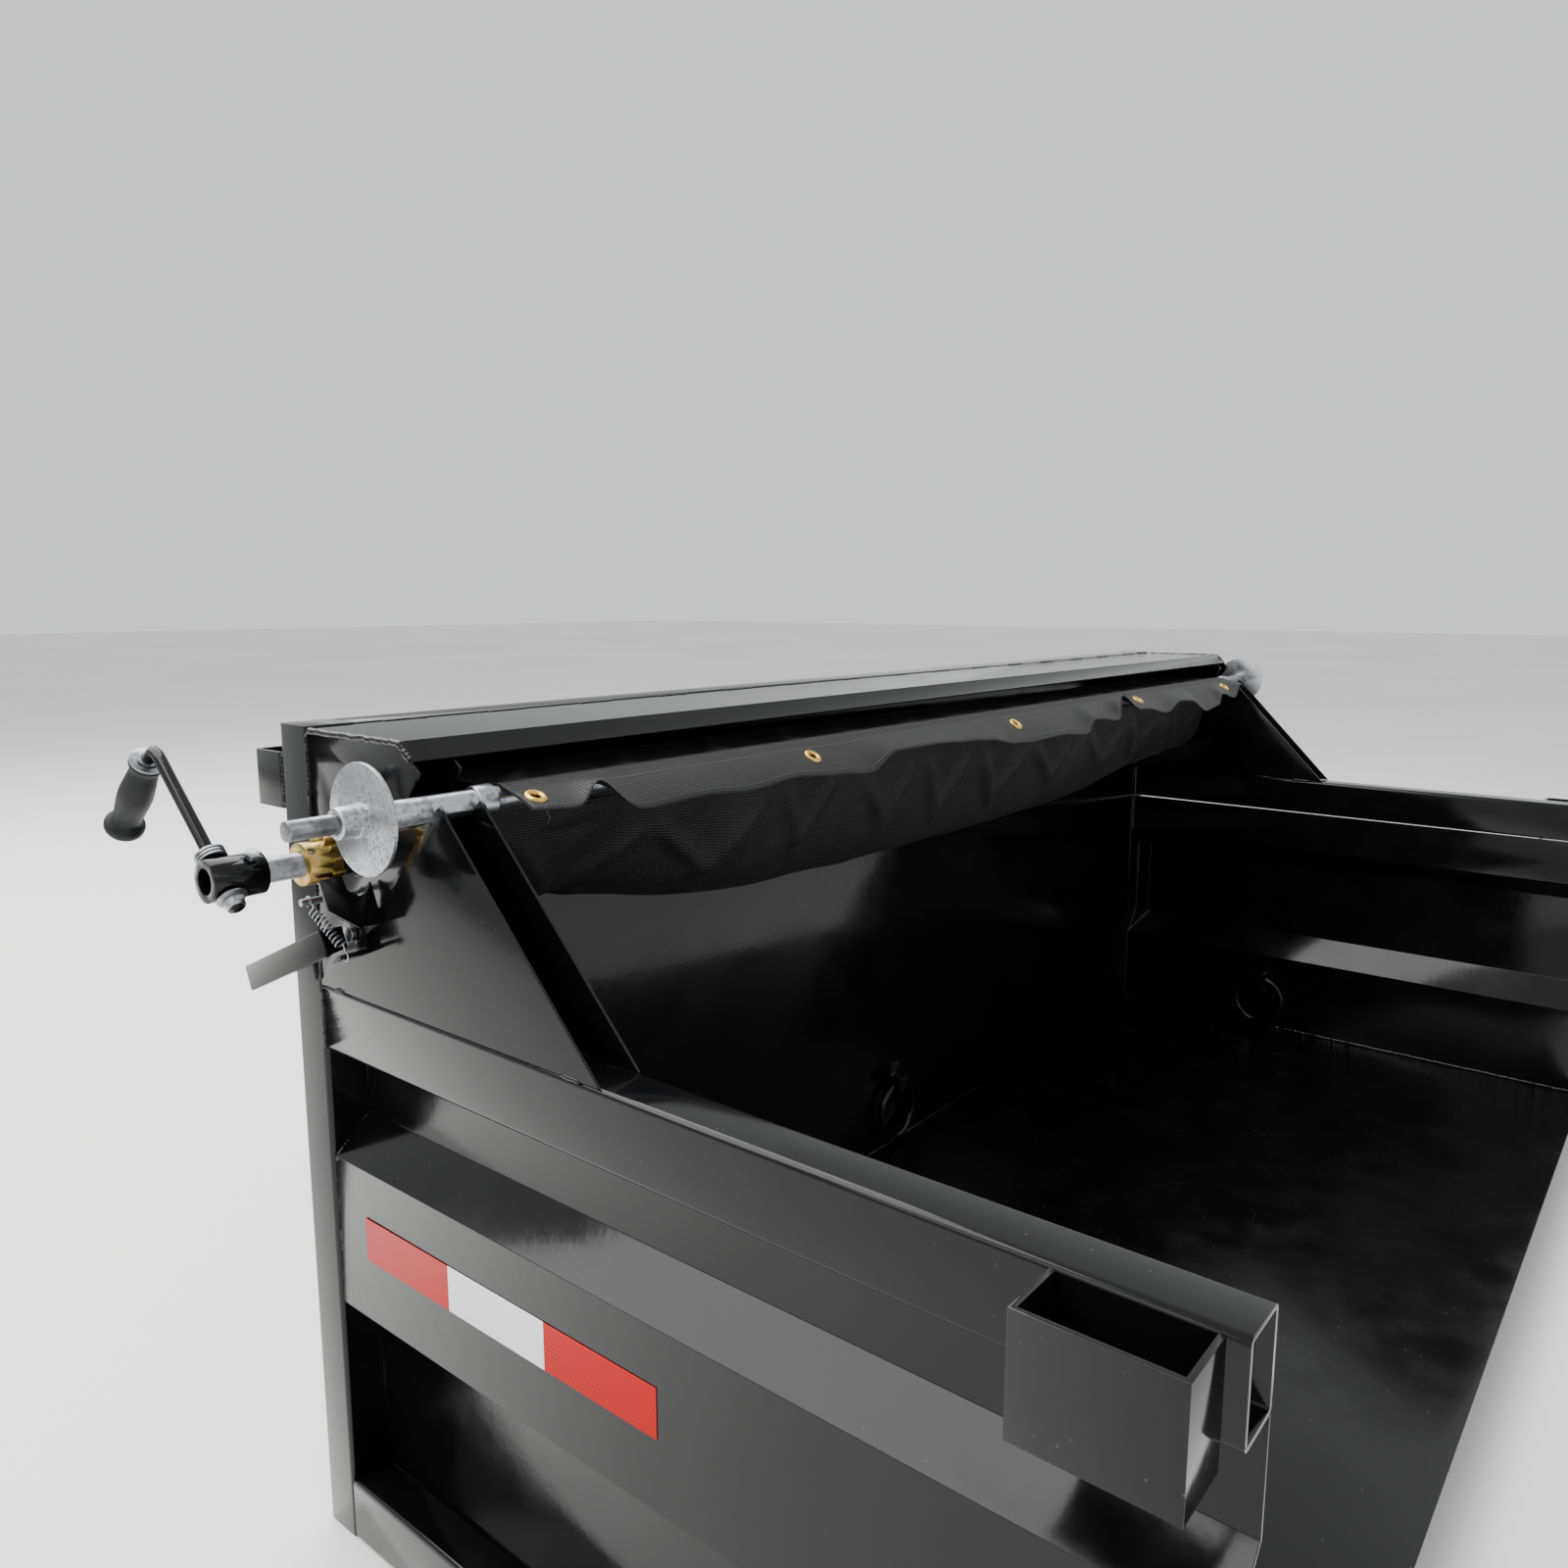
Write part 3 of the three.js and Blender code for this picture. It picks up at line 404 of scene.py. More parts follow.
for sub in frame["record"]["subparts"]:
    steel = nodes[sub["node"]]
    steel.data.materials.clear()
    steel.data.materials.append(special.get(sub["node"], finishOf[sub["material_slot"]]))
    steel.data.polygons.foreach_set("use_smooth", [True] * len(steel.data.polygons))
    weld = steel.modifiers.new("merge", "WELD")
    weld.merge_threshold = 0.02 * mm
    flat = steel.modifiers.new("flatten", "DECIMATE")
    flat.decimate_type = "DISSOLVE"
    flat.angle_limit = math.radians(0.5)
    bevel = steel.modifiers.new("edges", "BEVEL")
    bevel.width = edges["fine"] if sub["node"] in fineNodes else edges["width"]
    bevel.segments = 2
    bevel.limit_method = "ANGLE"
    bevel.angle_limit = math.radians(edges["angle"])
    bevel.harden_normals = True
print("steel pieces are finished")


# helpers for shapes

def parallelFrames(points):  # a tangent and two cross directions at each point, without twist
    points = [Vector(p) for p in points]
    tangents = []
    for i in range(len(points)):
        step = points[min(i + 1, len(points) - 1)] - points[max(i - 1, 0)]
        tangents.append(step.normalized())
    side = tangents[0].orthogonal().normalized()
    frames = []
    for tangent in tangents:
        side = (side - tangent * side.dot(tangent)).normalized()
        frames.append((tangent, side, tangent.cross(side)))
    return frames


def sweep(points, radius, around=8):  # a closed tube's vertices and faces; radius may be a function
    vertices, faces = [], []
    frames = parallelFrames(points)
    for i, (point, (_, side, other)) in enumerate(zip(points, frames)):
        for k in range(around):
            angle = 2 * math.pi * k / around
            reach = radius(i, angle) if callable(radius) else radius
            vertices.append(Vector(point) + (side * math.cos(angle) + other * math.sin(angle)) * reach)
    for i in range(len(points) - 1):
        for k in range(around):
            a, b = i * around + k, i * around + (k + 1) % around
            faces.append((a, b, b + around, a + around))
    faces.append(tuple(reversed(range(around))))
    last = (len(points) - 1) * around
    faces.append(tuple(range(last, last + around)))
    return vertices, faces


def gather(parts):  # several (vertices, faces) lists as one
    vertices, faces = [], []
    for partVertices, partFaces in parts:
        start = len(vertices)
        vertices.extend(partVertices)
        faces.extend(tuple(start + i for i in face) for face in partFaces)
    return vertices, faces


def finishPiece(made, body, material, replaced=()):
    made.data.materials.append(material)
    if body:
        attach(made, body)
    if replaced:
        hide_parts(*replaced)
    return made


def smoothLine(points, count):  # an even curve through the points
    points = np.array(points, float)
    ends = np.vstack([2 * points[0] - points[1], points, 2 * points[-1] - points[-2]])
    t = np.linspace(0, 1, 12, endpoint=False)[:, None]
    fine = []
    for p0, p1, p2, p3 in zip(ends, ends[1:], ends[2:], ends[3:]):
        fine.append(0.5 * (2 * p1 + (p2 - p0) * t + (2 * p0 - 5 * p1 + 4 * p2 - p3) * t ** 2
                           + (3 * p1 - p0 - 3 * p2 + p3) * t ** 3))
    fine = np.vstack([*fine, points[-1:]])
    along = np.r_[0, np.cumsum(np.linalg.norm(np.diff(fine, axis=0), axis=1))]
    even = np.linspace(0, along[-1], count)
    return np.column_stack([np.interp(even, along, fine[:, k]) for k in range(points.shape[1])])


def waveThrough(stations, x, column):  # eases from one station to the next
    places = [s[0] for s in stations]
    i = min(max(np.searchsorted(places, x) - 1, 0), len(stations) - 2)
    t = min(max((x - places[i]) / (places[i + 1] - places[i]), 0), 1)
    t = t * t * (3 - 2 * t)
    return stations[i][column] * (1 - t) + stations[i + 1][column] * t


# The tarp is one sheet: its free edge stands out behind the pull bar, it wraps the bar, runs forward
# over the roll, down in front of it, hangs below as a loose turn and goes back up onto the roll.

tarp = {
    "halfWidth": 1057,  # mm, as are all lengths here
    "columnStep": 9.5,
    "flapRows": 7,
    "rowStep": 8.4,
    "wrapRows": 4,
    "runRows": 74,
    "wrapRadius": 15.3,
    "gather": 1.028,  # how much wider and longer the cloth is than the room it has
    "slack": 1.02,
    "hemWide": 42,
    "thick": 1.0,
    "frames": 26,
}
draw = random.Random(11)


def unevenSteps(first, last, short, long):  # places from one end to the other, unevenly spaced
    places = [first]
    while places[-1] < last:
        places.append(places[-1] + draw.uniform(short, long))
    return places


# The free edge stands out behind the bar in uneven waves, and two gathers lift it higher.
flap = {"behind": 279, "up": 196, "swing": 15, "short": 50, "long": 120, "endCurl": 15, "curlReach": 40}
edgeGathers = [(-960, 34, 24), (390, 42, 34)]  # across, how much higher, half width
edgeWaves = [(place, draw.uniform(-1, 1)) for place in unevenSteps(-1100, 1100, flap["short"], flap["long"])]


def edgeAt(x):  # (behind, up) of the free edge
    rise = flap["swing"] * waveThrough(edgeWaves, x, 1)
    rise += sum(high * math.exp(-((x - place) / wide) ** 2) for place, high, wide in edgeGathers)
    rise += flap["endCurl"] * math.exp(-(tarp["halfWidth"] - abs(x)) / flap["curlReach"])
    return flap["behind"] - 0.5 * rise, flap["up"] + rise


# The loose turn hangs as a belly, shallower towards both ends, where the roll carries it.
belly = {"behind": 108, "up": 142, "radius": 100, "steps": 12, "bottom": 200}
# side, where it ends, over what length, how much less
bellyEnds = [(-1, 1000, 450, 0.46), (1, 1000, 650, 0.30)]


def easeIn(t):
    t = min(max(t, 0), 1)
    return t * t * (3 - 2 * t)


def bellyDepth(x):  # share of the full depth
    return 1 - sum(less * easeIn((side * x - end + length) / length) for side, end, length, less in bellyEnds)


def ridgeLift(x):  # how the top sheet rises and sinks along the roll
    return 5 * noise.noise(Vector((x / 240, 1.7, 0.4)))


overRoll = [(168, 233), (132, 233), (98, 237), (62, 235), (34, 221), (14, 190)]
ontoRoll = [(208, 190), (196, 204), (170, 210), (124, 222.5)]
barBehind = (bulkheadY - barAxis.y) / mm
barUp = (barAxis.z - railTop) / mm


def tarpSection(x):  # (behind, up) of every row at one place across the body
    radius = tarp["wrapRadius"]
    leave = math.radians(58)  # where the flap leaves the bar
    tangent = (barBehind + radius * math.cos(leave), barUp + radius * math.sin(leave))
    edge = edgeAt(x)
    arch = (tangent[0] + 26, tangent[1] - 8)
    rows = []
    for i in range(tarp["flapRows"]):
        t = i / tarp["flapRows"]
        rows.append([(1 - t) ** 2 * e + 2 * t * (1 - t) * a + t * t * g
                     for e, a, g in zip(edge, arch, tangent)])
    for i in range(tarp["wrapRows"]):
        angle = leave + (math.radians(120) - leave) * i / (tarp["wrapRows"] - 1)
        rows.append([barBehind + radius * math.cos(angle), barUp + radius * math.sin(angle)])
    run = [tuple(rows[-1])]
    run += [(behind, up + (ridgeLift(x) if up > 229 else 0)) for behind, up in overRoll]
    for i in range(belly["steps"] + 1):
        angle = math.pi * (1 + i / belly["steps"])
        up = belly["up"] + belly["radius"] * math.sin(angle)
        up = belly["bottom"] - (belly["bottom"] - up) * bellyDepth(x)
        run.append((belly["behind"] + belly["radius"] * math.cos(angle), up))
    run += ontoRoll
    rows.extend(smoothLine(run, tarp["runRows"] + 1)[1:].tolist())
    return rows


columns = int(2 * tarp["halfWidth"] / tarp["columnStep"]) + 1
across = np.linspace(-tarp["halfWidth"], tarp["halfWidth"], columns)
sections = np.array([tarpSection(x) for x in across])  # column, row, (behind, up)
rowCount = sections.shape[1]
fixedRows = tarp["flapRows"] + tarp["wrapRows"]
grid = np.zeros((columns, rowCount, 3))
grid[:, :, 0] = across[:, None] * mm
grid[:, :, 1] = bulkheadY - sections[:, :, 0] * mm
grid[:, :, 2] = railTop + sections[:, :, 1] * mm
cutAlong = np.r_[0, np.cumsum(np.linalg.norm(np.diff(sections[columns // 2], axis=0), axis=1))]


def gridFaces(columnCount, rowTotal, skip=()):
    return [(c * rowTotal + r, (c + 1) * rowTotal + r, (c + 1) * rowTotal + r + 1, c * rowTotal + r + 1)
            for c in range(columnCount - 1) for r in range(rowTotal - 1) if (c, r) not in skip]


def collider(name, vertices, faces):
    made = meshObject(name, vertices, faces)
    made.modifiers.new("hit", "COLLISION")
    made.collision.thickness_outer = 1.5 * mm
    made.collision.cloth_friction = 20
    return made


def drape(points):  # lets gravity settle the loose part of the sheet over the roll
    made = meshObject("drape", points.reshape(-1, 3), gridFaces(columns, rowCount))
    made.shape_key_add(name="Basis")
    rest = made.shape_key_add(name="cut")
    centre = np.array([0, rollAxis.y, rollAxis.z])
    wide = np.array([tarp["gather"], tarp["slack"], tarp["slack"]])
    rest.data.foreach_set("co", ((points - centre) * wide + centre).ravel())
    held = made.vertex_groups.new(name="held")
    heldRows = [*range(fixedRows + 1), *range(rowCount - 9, rowCount)]
    held.add([c * rowCount + r for c in range(columns) for r in heldRows], 1.0, "REPLACE")
    cloth = made.modifiers.new("cloth", "CLOTH")
    cloth.settings.vertex_group_mass = "held"
    cloth.settings.rest_shape_key = rest
    cloth.settings.quality = 5
    cloth.settings.mass = 0.25
    cloth.settings.tension_stiffness = 40
    cloth.settings.compression_stiffness = 40
    cloth.settings.shear_stiffness = 12
    cloth.settings.bending_stiffness = 1.2
    cloth.settings.tension_damping = 12
    cloth.settings.air_damping = 2
    cloth.collision_settings.distance_min = 2 * mm
    cloth.collision_settings.use_self_collision = False
    rollCover = collider("roll_hit", *sweep(
        [Vector((x * 0.05 * 1.06, rollAxis.y, rollAxis.z)) for x in range(-20, 21)], 70.5 * mm, 40))
    for step in range(1, tarp["frames"] + 1):
        scene.frame_set(step)
    graph = bpy.context.evaluated_depsgraph_get()
    moved = np.zeros(columns * rowCount * 3)
    made.evaluated_get(graph).data.vertices.foreach_get("co", moved)
    scene.frame_set(1)
    for used in (made, rollCover):
        bpy.data.objects.remove(used)
    return moved.reshape(columns, rowCount, 3)


for c in range(columns):  # small creases that the gathered cloth starts from
    for r in range(fixedRows + 1, rowCount - 9):
        place = Vector((across[c] / 130, cutAlong[r] / 75 - across[c] / 300, 4.2))
        crease = noise.noise(place) * 5 + noise.noise(place * 2.3) * 2
        normalY, normalZ = grid[c, r, 1] - rollAxis.y, grid[c, r, 2] - rollAxis.z
        size = math.hypot(normalY, normalZ)
        grid[c, r, 1] += crease * mm * normalY / size
        grid[c, r, 2] += crease * mm * normalZ / size
grid = drape(grid)
print("tarp is draped")

# The coated mesh is stiff, so it keeps sharp folds. A fold is a crest from one point to another,
# (across, up) on the hanging turn and (across, behind) on top, with its height and half width.
hanging = {"low": 76, "high": 158, "scatter": 16, "short": 45, "long": 110, "rest": (20, 90),
           "height": (10, 17), "wide": (11, 16)}
onTop = {"rear": 210, "front": 102, "lean": 86, "loose": 145, "close": 80, "height": (8, 13),
         "wide": (10, 14)}


def hangingFolds():  # crests that run to and fro between two levels, in Vs with rests between them
    folds = []
    x, rising = -tarp["halfWidth"] + 45, False
    while x < tarp["halfWidth"] - 60:
        step = draw.uniform(hanging["short"], hanging["long"])
        ends = [hanging["low"], hanging["high"]] if rising else [hanging["high"], hanging["low"]]
        ends = [level + draw.uniform(-1, 1) * hanging["scatter"] for level in ends]
        folds.append((x, ends[0], x + step, ends[1], draw.uniform(*hanging["height"]),
                      draw.uniform(*hanging["wide"])))
        x += step
        if rising:
            x += draw.uniform(*hanging["rest"])
        rising = not rising
    return folds


def topFolds():  # slanting pulls from the bar to the roll, closer together towards the right
    folds = []
    x = -tarp["halfWidth"] + 20
    while x < tarp["halfWidth"] - onTop["lean"]:
        share = (x + tarp["halfWidth"]) / (2 * tarp["halfWidth"])
        lean = onTop["lean"] * draw.uniform(0.8, 1.15)
        folds.append((x, onTop["rear"], x + lean, onTop["front"], draw.uniform(*onTop["height"]),
                      draw.uniform(*onTop["wide"])))
        x += (onTop["loose"] * (1 - share) + onTop["close"] * share) * draw.uniform(0.8, 1.2)
    return folds


def foldHeight(folds, a, b):
    total = 0
    for a0, b0, a1, b1, high, wide in folds:
        if not min(a0, a1) - 60 < a < max(a0, a1) + 60:
            continue
        along = Vector((a1 - a0, b1 - b0))
        t = (Vector((a - a0, b - b0)) @ along) / along.length_squared
        held = min(max(t, 0), 1)
        off = math.hypot(a - a0 - along.x * held, b - b0 - along.y * held)
        swell = high * (1 - abs(2 * held - 1) ** 3 * 0.55)
        total += swell * (math.exp(-(off / wide) ** 1.5) - 0.4 * math.exp(-(off / (2.1 * wide)) ** 2))
    return total


def creased(points):
    shaped = points.copy()
    for c in range(columns):
        x = across[c]
        for r in range(fixedRows, rowCount - 9):
            behind = (bulkheadY - points[c, r, 1]) / mm
            up = (points[c, r, 2] - railTop) / mm
            if up < 202 and behind > 96:
                fade = min(1, (202 - up) / 26, (behind - 96) / 50)
                high = foldHeight(foldsBelow, x, up) * fade
            elif up > 215 and 86 < behind < 214:
                fade = min(1, (214 - behind) / 16, (behind - 86) / 22)
                high = foldHeight(foldsAbove, x, behind) * fade
            else:
                continue
            out = np.array([0, points[c, r, 1] - rollAxis.y, points[c, r, 2] - rollAxis.z])
            if up > 215:
                out = np.array([0, 0, 1])
            shaped[c, r] += out / np.linalg.norm(out) * high * mm
    return shaped


foldsBelow, foldsAbove = hangingFolds(), topFolds()
grid = creased(grid)
print("folds are pressed in")


def meshNormals(points):
    a = np.gradient(points, axis=0)
    b = np.gradient(points, axis=1)
    normal = np.cross(a, b)
    return normal / np.maximum(np.linalg.norm(normal, axis=2, keepdims=True), 1e-9)


normals = meshNormals(grid)
outward = np.sign((normals[:, 3, 2]).mean())
normals *= outward


# cuts holds each point's place on the flat cloth
def clothPiece(name, points, cuts, material, thick, skip=()):
    made = meshObject(name, points.reshape(-1, 3), gridFaces(points.shape[0], points.shape[1], skip))
    layer = made.data.uv_layers.new(name="cut")
    flat = cuts.reshape(-1, 2)
    for loop in made.data.loops:
        layer.data[loop.index].uv = flat[loop.vertex_index] * mm
    loose = [v for v in range(len(made.data.vertices))
             if v not in {i for face in made.data.polygons for i in face.vertices}] if skip else []
    if loose:
        work = bmesh.new()
        work.from_mesh(made.data)
        work.verts.ensure_lookup_table()
        bmesh.ops.delete(work, geom=[work.verts[i] for i in loose], context="VERTS")
        work.to_mesh(made.data)
        work.free()
    finer = made.modifiers.new("finer", "SUBSURF")
    finer.levels = finer.render_levels = 1
    solid = made.modifiers.new("thick", "SOLIDIFY")
    solid.thickness = thick * mm
    solid.offset = 0
    made.data.materials.append(material)
    return made


cuts = np.zeros((columns, rowCount, 2))
cuts[:, :, 0] = across[:, None]
cuts[:, :, 1] = cutAlong[None, :]

# eyelets sit on grid points of the hem, and the cloth is punched there

eyelets = {"places": (-1036, -578, -30, 482, 985), "row": 3, "hole": 7.6, "inner": 5.6, "outer": 12.4,
           "high": 1.9, "rise": 1.6}
eyeletColumns = [int(np.argmin(abs(across - x))) for x in eyelets["places"]]
punched = set()
for c in eyeletColumns:
    punched |= {(c + dc, eyelets["row"] + dr) for dc in (-1, 0) for dr in (-1, 0)}
flatGrid = grid.copy()
for c in eyeletColumns:
    r = eyelets["row"]
    centre = flatGrid[c, r].copy()
    for dc in (-1, 0, 1):
        for dr in (-1, 0, 1):
            away = flatGrid[c + dc, r + dr] - centre
            if dc or dr:
                grid[c + dc, r + dr] = centre + away / np.linalg.norm(away) * eyelets["hole"] * mm

splitRow = next(r for r in range(fixedRows, rowCount) if sections[columns // 2, r, 0] < 45)
topRows, lowerRows = slice(0, splitRow + 1), slice(splitRow, None)
topSheet = clothPiece("tarp_top", grid[:, topRows], cuts[:, topRows], tarpMesh, tarp["thick"], punched)
lowerTurn = clothPiece("tarp_loose_turn", grid[:, lowerRows], cuts[:, lowerRows], tarpMesh, tarp["thick"])
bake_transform(topSheet)
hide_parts("tarp_hem", "tarp_flap")
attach(lowerTurn, "body_frame")
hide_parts("tarp_slack")

# the hem is the edge folded back on both faces and sewn down

hemRows = int(tarp["hemWide"] / tarp["rowStep"]) + 1
hemLayers, hemCuts = [], []
lift = 1.3 * mm
for r in range(hemRows - 1, -1, -1):
    hemLayers.append(grid[:, r] + normals[:, r] * lift)
    hemCuts.append(cuts[:, r])
edgeOut = grid[:, 0] - grid[:, 1]
edgeOut /= np.linalg.norm(edgeOut, axis=1, keepdims=True)
hemLayers.append(grid[:, 0] + edgeOut * 1.6 * mm)
hemCuts.append(cuts[:, 0] - np.array([0, 2]))
for r in range(hemRows):
    hemLayers.append(grid[:, r] - normals[:, r] * lift)
    hemCuts.append(cuts[:, 0] - np.array([0, 4 + r * tarp["rowStep"]]))
hemPoints = np.stack(hemLayers, axis=1)
topCentre = hemRows - 1 - eyelets["row"]
lowCentre = hemRows + 1 + eyelets["row"]
hemPunched = {(c + dc, r + dr) for c in eyeletColumns for r in (topCentre, lowCentre)
              for dc in (-1, 0) for dr in (-1, 0)}
hem = clothPiece("tarp_edge_hem", hemPoints, np.stack(hemCuts, axis=1), hemMesh, 0.7, hemPunched)
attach(hem, "pull_bar")


def onCloth(column, row, out):  # a point at a fractional place on the sheet, lifted off it
    c, r = min(int(column), columns - 2), min(int(row), rowCount - 2)
    fc, fr = column - c, row - r
    point, normal = 0, 0
    for dc, wc in ((0, 1 - fc), (1, fc)):
        for dr, wr in ((0, 1 - fr), (1, fr)):
            point = point + flatGrid[c + dc, r + dr] * wc * wr
            normal = normal + normals[c + dc, r + dr] * wc * wr
    return Vector(point) + Vector(normal).normalized() * out


stitching = {"rows": (0.5, 4.6, 6.75, 7.25), "long": 4.2, "gap": 2.0, "radius": 0.55, "proud": 2.0}
stitches = []
perStitch = (stitching["long"] + stitching["gap"]) / (2 * tarp["halfWidth"]) * (columns - 1)
for row in stitching["rows"]:
    proud = stitching["proud"] if row < hemRows - 1 else 0.9
    for i in range(int((columns - 2) / perStitch)):
        start = 0.5 + i * perStitch
        reach = stitching["long"] / (stitching["long"] + stitching["gap"]) * perStitch
        line = [onCloth(start + reach * t, row, (proud - 0.9 * abs(2 * t - 1) ** 2) * mm)
                for t in (0, 0.25, 0.75, 1)]
        stitches.append(sweep(line, stitching["radius"] * mm, 5))
tail = onCloth(1.6, 0, 0)
stitches.append(sweep([tail, tail + Vector((1, -2, -5)) * mm, tail + Vector((4, -1, -10)) * mm,
                       tail + Vector((1, 0, -14)) * mm], 0.4 * mm, 5))
hemStitching = meshObject("hem_stitching", *gather(stitches))
finishPiece(hemStitching, "pull_bar", threadBlack)


def turnedRing(profile, centre, axis, around=40):  # a closed profile of (radius, height) turned round an axis
    axis = Vector(axis).normalized()
    side = axis.orthogonal().normalized()
    other = axis.cross(side)
    vertices, faces = [], []
    count = len(profile)
    for k in range(around):
        angle = 2 * math.pi * k / around
        out = side * math.cos(angle) + other * math.sin(angle)
        vertices.extend(Vector(centre) + out * radius * mm + axis * height * mm for radius, height in profile)
    for k in range(around):
        for i in range(count):
            a, b = k * count + i, k * count + (i + 1) % count
            c, d = (k + 1) % around * count + (i + 1) % count, (k + 1) % around * count + i
            faces.append((a, b, c, d))
    return vertices, faces


def eyeletProfile():
    inner, outer, high, rise = (eyelets[key] for key in ("inner", "outer", "high", "rise"))
    crown = [(outer, rise), (outer - 0.4, rise + high * 0.5), (outer - 3, rise + high),
             (inner + 1.6, rise + high * 0.95), (inner + 0.3, rise + high * 0.4), (inner, 0)]
    below = [(radius, -height) for radius, height in reversed(crown[:-1])]
    return crown + below


for number, c in enumerate(eyeletColumns, 1):
    normal = normals[c - 1:c + 2, 2:5].mean(axis=(0, 1))
    ring = meshObject(f"eyelet_{number}", *turnedRing(eyeletProfile(), flatGrid[c, eyelets["row"]], normal))
    finishPiece(ring, "pull_bar", brass)

# the rest of the cloth, wound on the roller tube

wound = {"turns": 11, "inner": 26, "outer": 68.6, "perTurn": 30, "columns": 60, "uneven": 5}


def woundRoll():
    steps = wound["turns"] * wound["perTurn"]
    places = np.linspace(-1, 1, wound["columns"])
    points = np.zeros((len(places), steps + 1, 3))
    flat = np.zeros((len(places), steps + 1, 2))
    for c, share in enumerate(places):
        run = 0
        for s in range(steps + 1):
            angle = 2 * math.pi * s / wound["perTurn"]
            radius = wound["inner"] + (wound["outer"] - wound["inner"]) * s / steps
            ripple = noise.noise(Vector((share * 9, math.cos(angle) * 1.3, math.sin(angle) * 1.3)))
            radius += ripple * 1.5 * min(1, (radius - wound["inner"]) / 12)
            x = share * (tarp["halfWidth"] + 4 - wound["uneven"]
                         + wound["uneven"] * noise.noise(Vector((share * 3, s / wound["perTurn"] * 0.9, 7))))
            run += radius * 2 * math.pi / wound["perTurn"]
            points[c, s] = (x * mm, rollAxis.y - radius * mm * math.sin(angle + 2.4),
                            rollAxis.z + radius * mm * math.cos(angle + 2.4))
            flat[c, s] = (x, run)
    return points, flat


woundPoints, woundFlat = woundRoll()
woundMesh = clothPiece("tarp_wound_roll", woundPoints, woundFlat, tarpMesh, 1.2)
woundMesh.modifiers.remove(woundMesh.modifiers["finer"])
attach(woundMesh, "roller")
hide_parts("tarp_roll")
print("tarp is sewn and wound")

# weld beads: overlapping puddles of filler under the paint

beads = {"step": 1.7, "puddle": 5.2, "rough": 0.22}


def bead(points, radius, step=None):
    line = [Vector(p) for p in points]
    step = step or beads["step"]
    spaced = []
    for a, b in zip(line, line[1:]):
        count = max(2, int((b - a).length / (step * mm)))
        spaced.extend(a.lerp(b, i / count) for i in range(count))
    spaced.append(line[-1])
    seed = sum(line[0]) * 40

    def reach(i, angle):
        place = i * step
        puddle = 0.5 + 0.5 * math.cos(2 * math.pi * place / beads["puddle"])
        lump = noise.noise(Vector((place / 7, seed, math.cos(angle))))
        taper = min(1, 0.35 + 0.4 * i, 0.35 + 0.4 * (len(spaced) - 1 - i))
        return radius * mm * taper * (0.86 + 0.16 * puddle + beads["rough"] * lump)

    stray = 0.25 * radius * mm
    wander = [p + Vector([noise.noise(Vector((i * step / 16, seed, k))) * stray for k in range(3)])
              for i, p in enumerate(spaced)]
    return sweep(wander, reach, 8)


def dashes(a, b, long, gap, radius):  # stitch welds along a line
    a, b = Vector(a), Vector(b)
    length = (b - a).length / mm
    count = int((length + gap) / (long + gap))
    pitch = length / max(count, 1)
    made = []
    for i in range(count):
        first = (i * pitch + (pitch - long) / 2) / length
        made.append(bead([a.lerp(b, first), a.lerp(b, first + long / length)], radius))
    return made


def weldPiece(name, parts):
    return finishPiece(meshObject(name, *gather(parts)), "body_frame", blackPaint)


hoodTop = (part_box("tarp_hood")[1].z - railTop) / mm
wallIn = -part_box("side_panel_left")[1].x
floorUp = (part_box("floor_plate")[1].z - railTop) / mm
sleeveRadius = 22.3 * mm
hoodWelds, postWelds, bedWelds, footWelds, sleeveWelds = [], [], [], [], []
for side in (-1, 1):
    outer, inner = side * (halfWidth - 0.6 * mm), side * (halfWidth - 52.2 * mm)
    overHood = [spot(outer, 3, hoodTop - 2.6), spot(outer, 174, hoodTop - 2.6),
                spot(outer, 195, hoodTop - 21)]
    hoodWelds.append(bead(overHood, 4.0))
    hoodWelds.append(bead([spot(inner, 120, hoodTop - 5), spot(inner, 172, hoodTop - 5)], 2.6))
    postWelds.append(bead([spot(outer, 0, 280), spot(outer, 0, 150)], 3.4))
    postWelds.append(bead([spot(outer, 0, 148), spot(outer, 0, 6)], 2.6))
    postWelds.append(bead([spot(outer, 0, -4), spot(outer, 0, -74)], 3.0))
    bedWelds.append(bead([spot(inner, 1, 3), spot(inner, 1, 96)], 3.6))
    bedWelds.append(bead([spot(inner, 1, 110), spot(inner, 1, 262)], 2.6, 2.6))
    wall = [(wallIn / mm, -78), (wallIn / mm, -165), (halfWidth / mm - 6, -204), (halfWidth / mm - 6, -382),
            (wallIn / mm, -435), (wallIn / mm, floorUp + 2)]
    bedWelds.append(bead([spot(side * x * mm, 1.5, up) for x, up in wall], 3.2, 2.6))
    floorEdge = side * (wallIn - 1.5 * mm)
    bedWelds.append(bead([spot(floorEdge, 4, floorUp + 1), spot(floorEdge, 1000, floorUp + 1)], 3.2, 3.4))
    wingFoot = side * (halfWidth - 49.5 * mm)
    footWelds += dashes(spot(wingFoot, 20, 0.5), spot(wingFoot, 448, 0.5), 42, 50, 2.6)
    footWelds.append(bead([spot(outer, 26, 0), spot(outer, 46, 0)], 2.4))
    footWelds.append(bead([spot(outer, 402, 0.4), spot(outer, 428, 0.4)], 2.6))
    ringX = side * (halfWidth + 0.8 * mm)
    ring = [(ringX, rollAxis.y + sleeveRadius * math.cos(t * math.pi / 10),
             rollAxis.z + sleeveRadius * math.sin(t * math.pi / 10)) for t in range(21)]
    sleeveWelds.append(bead(ring, 2.4))
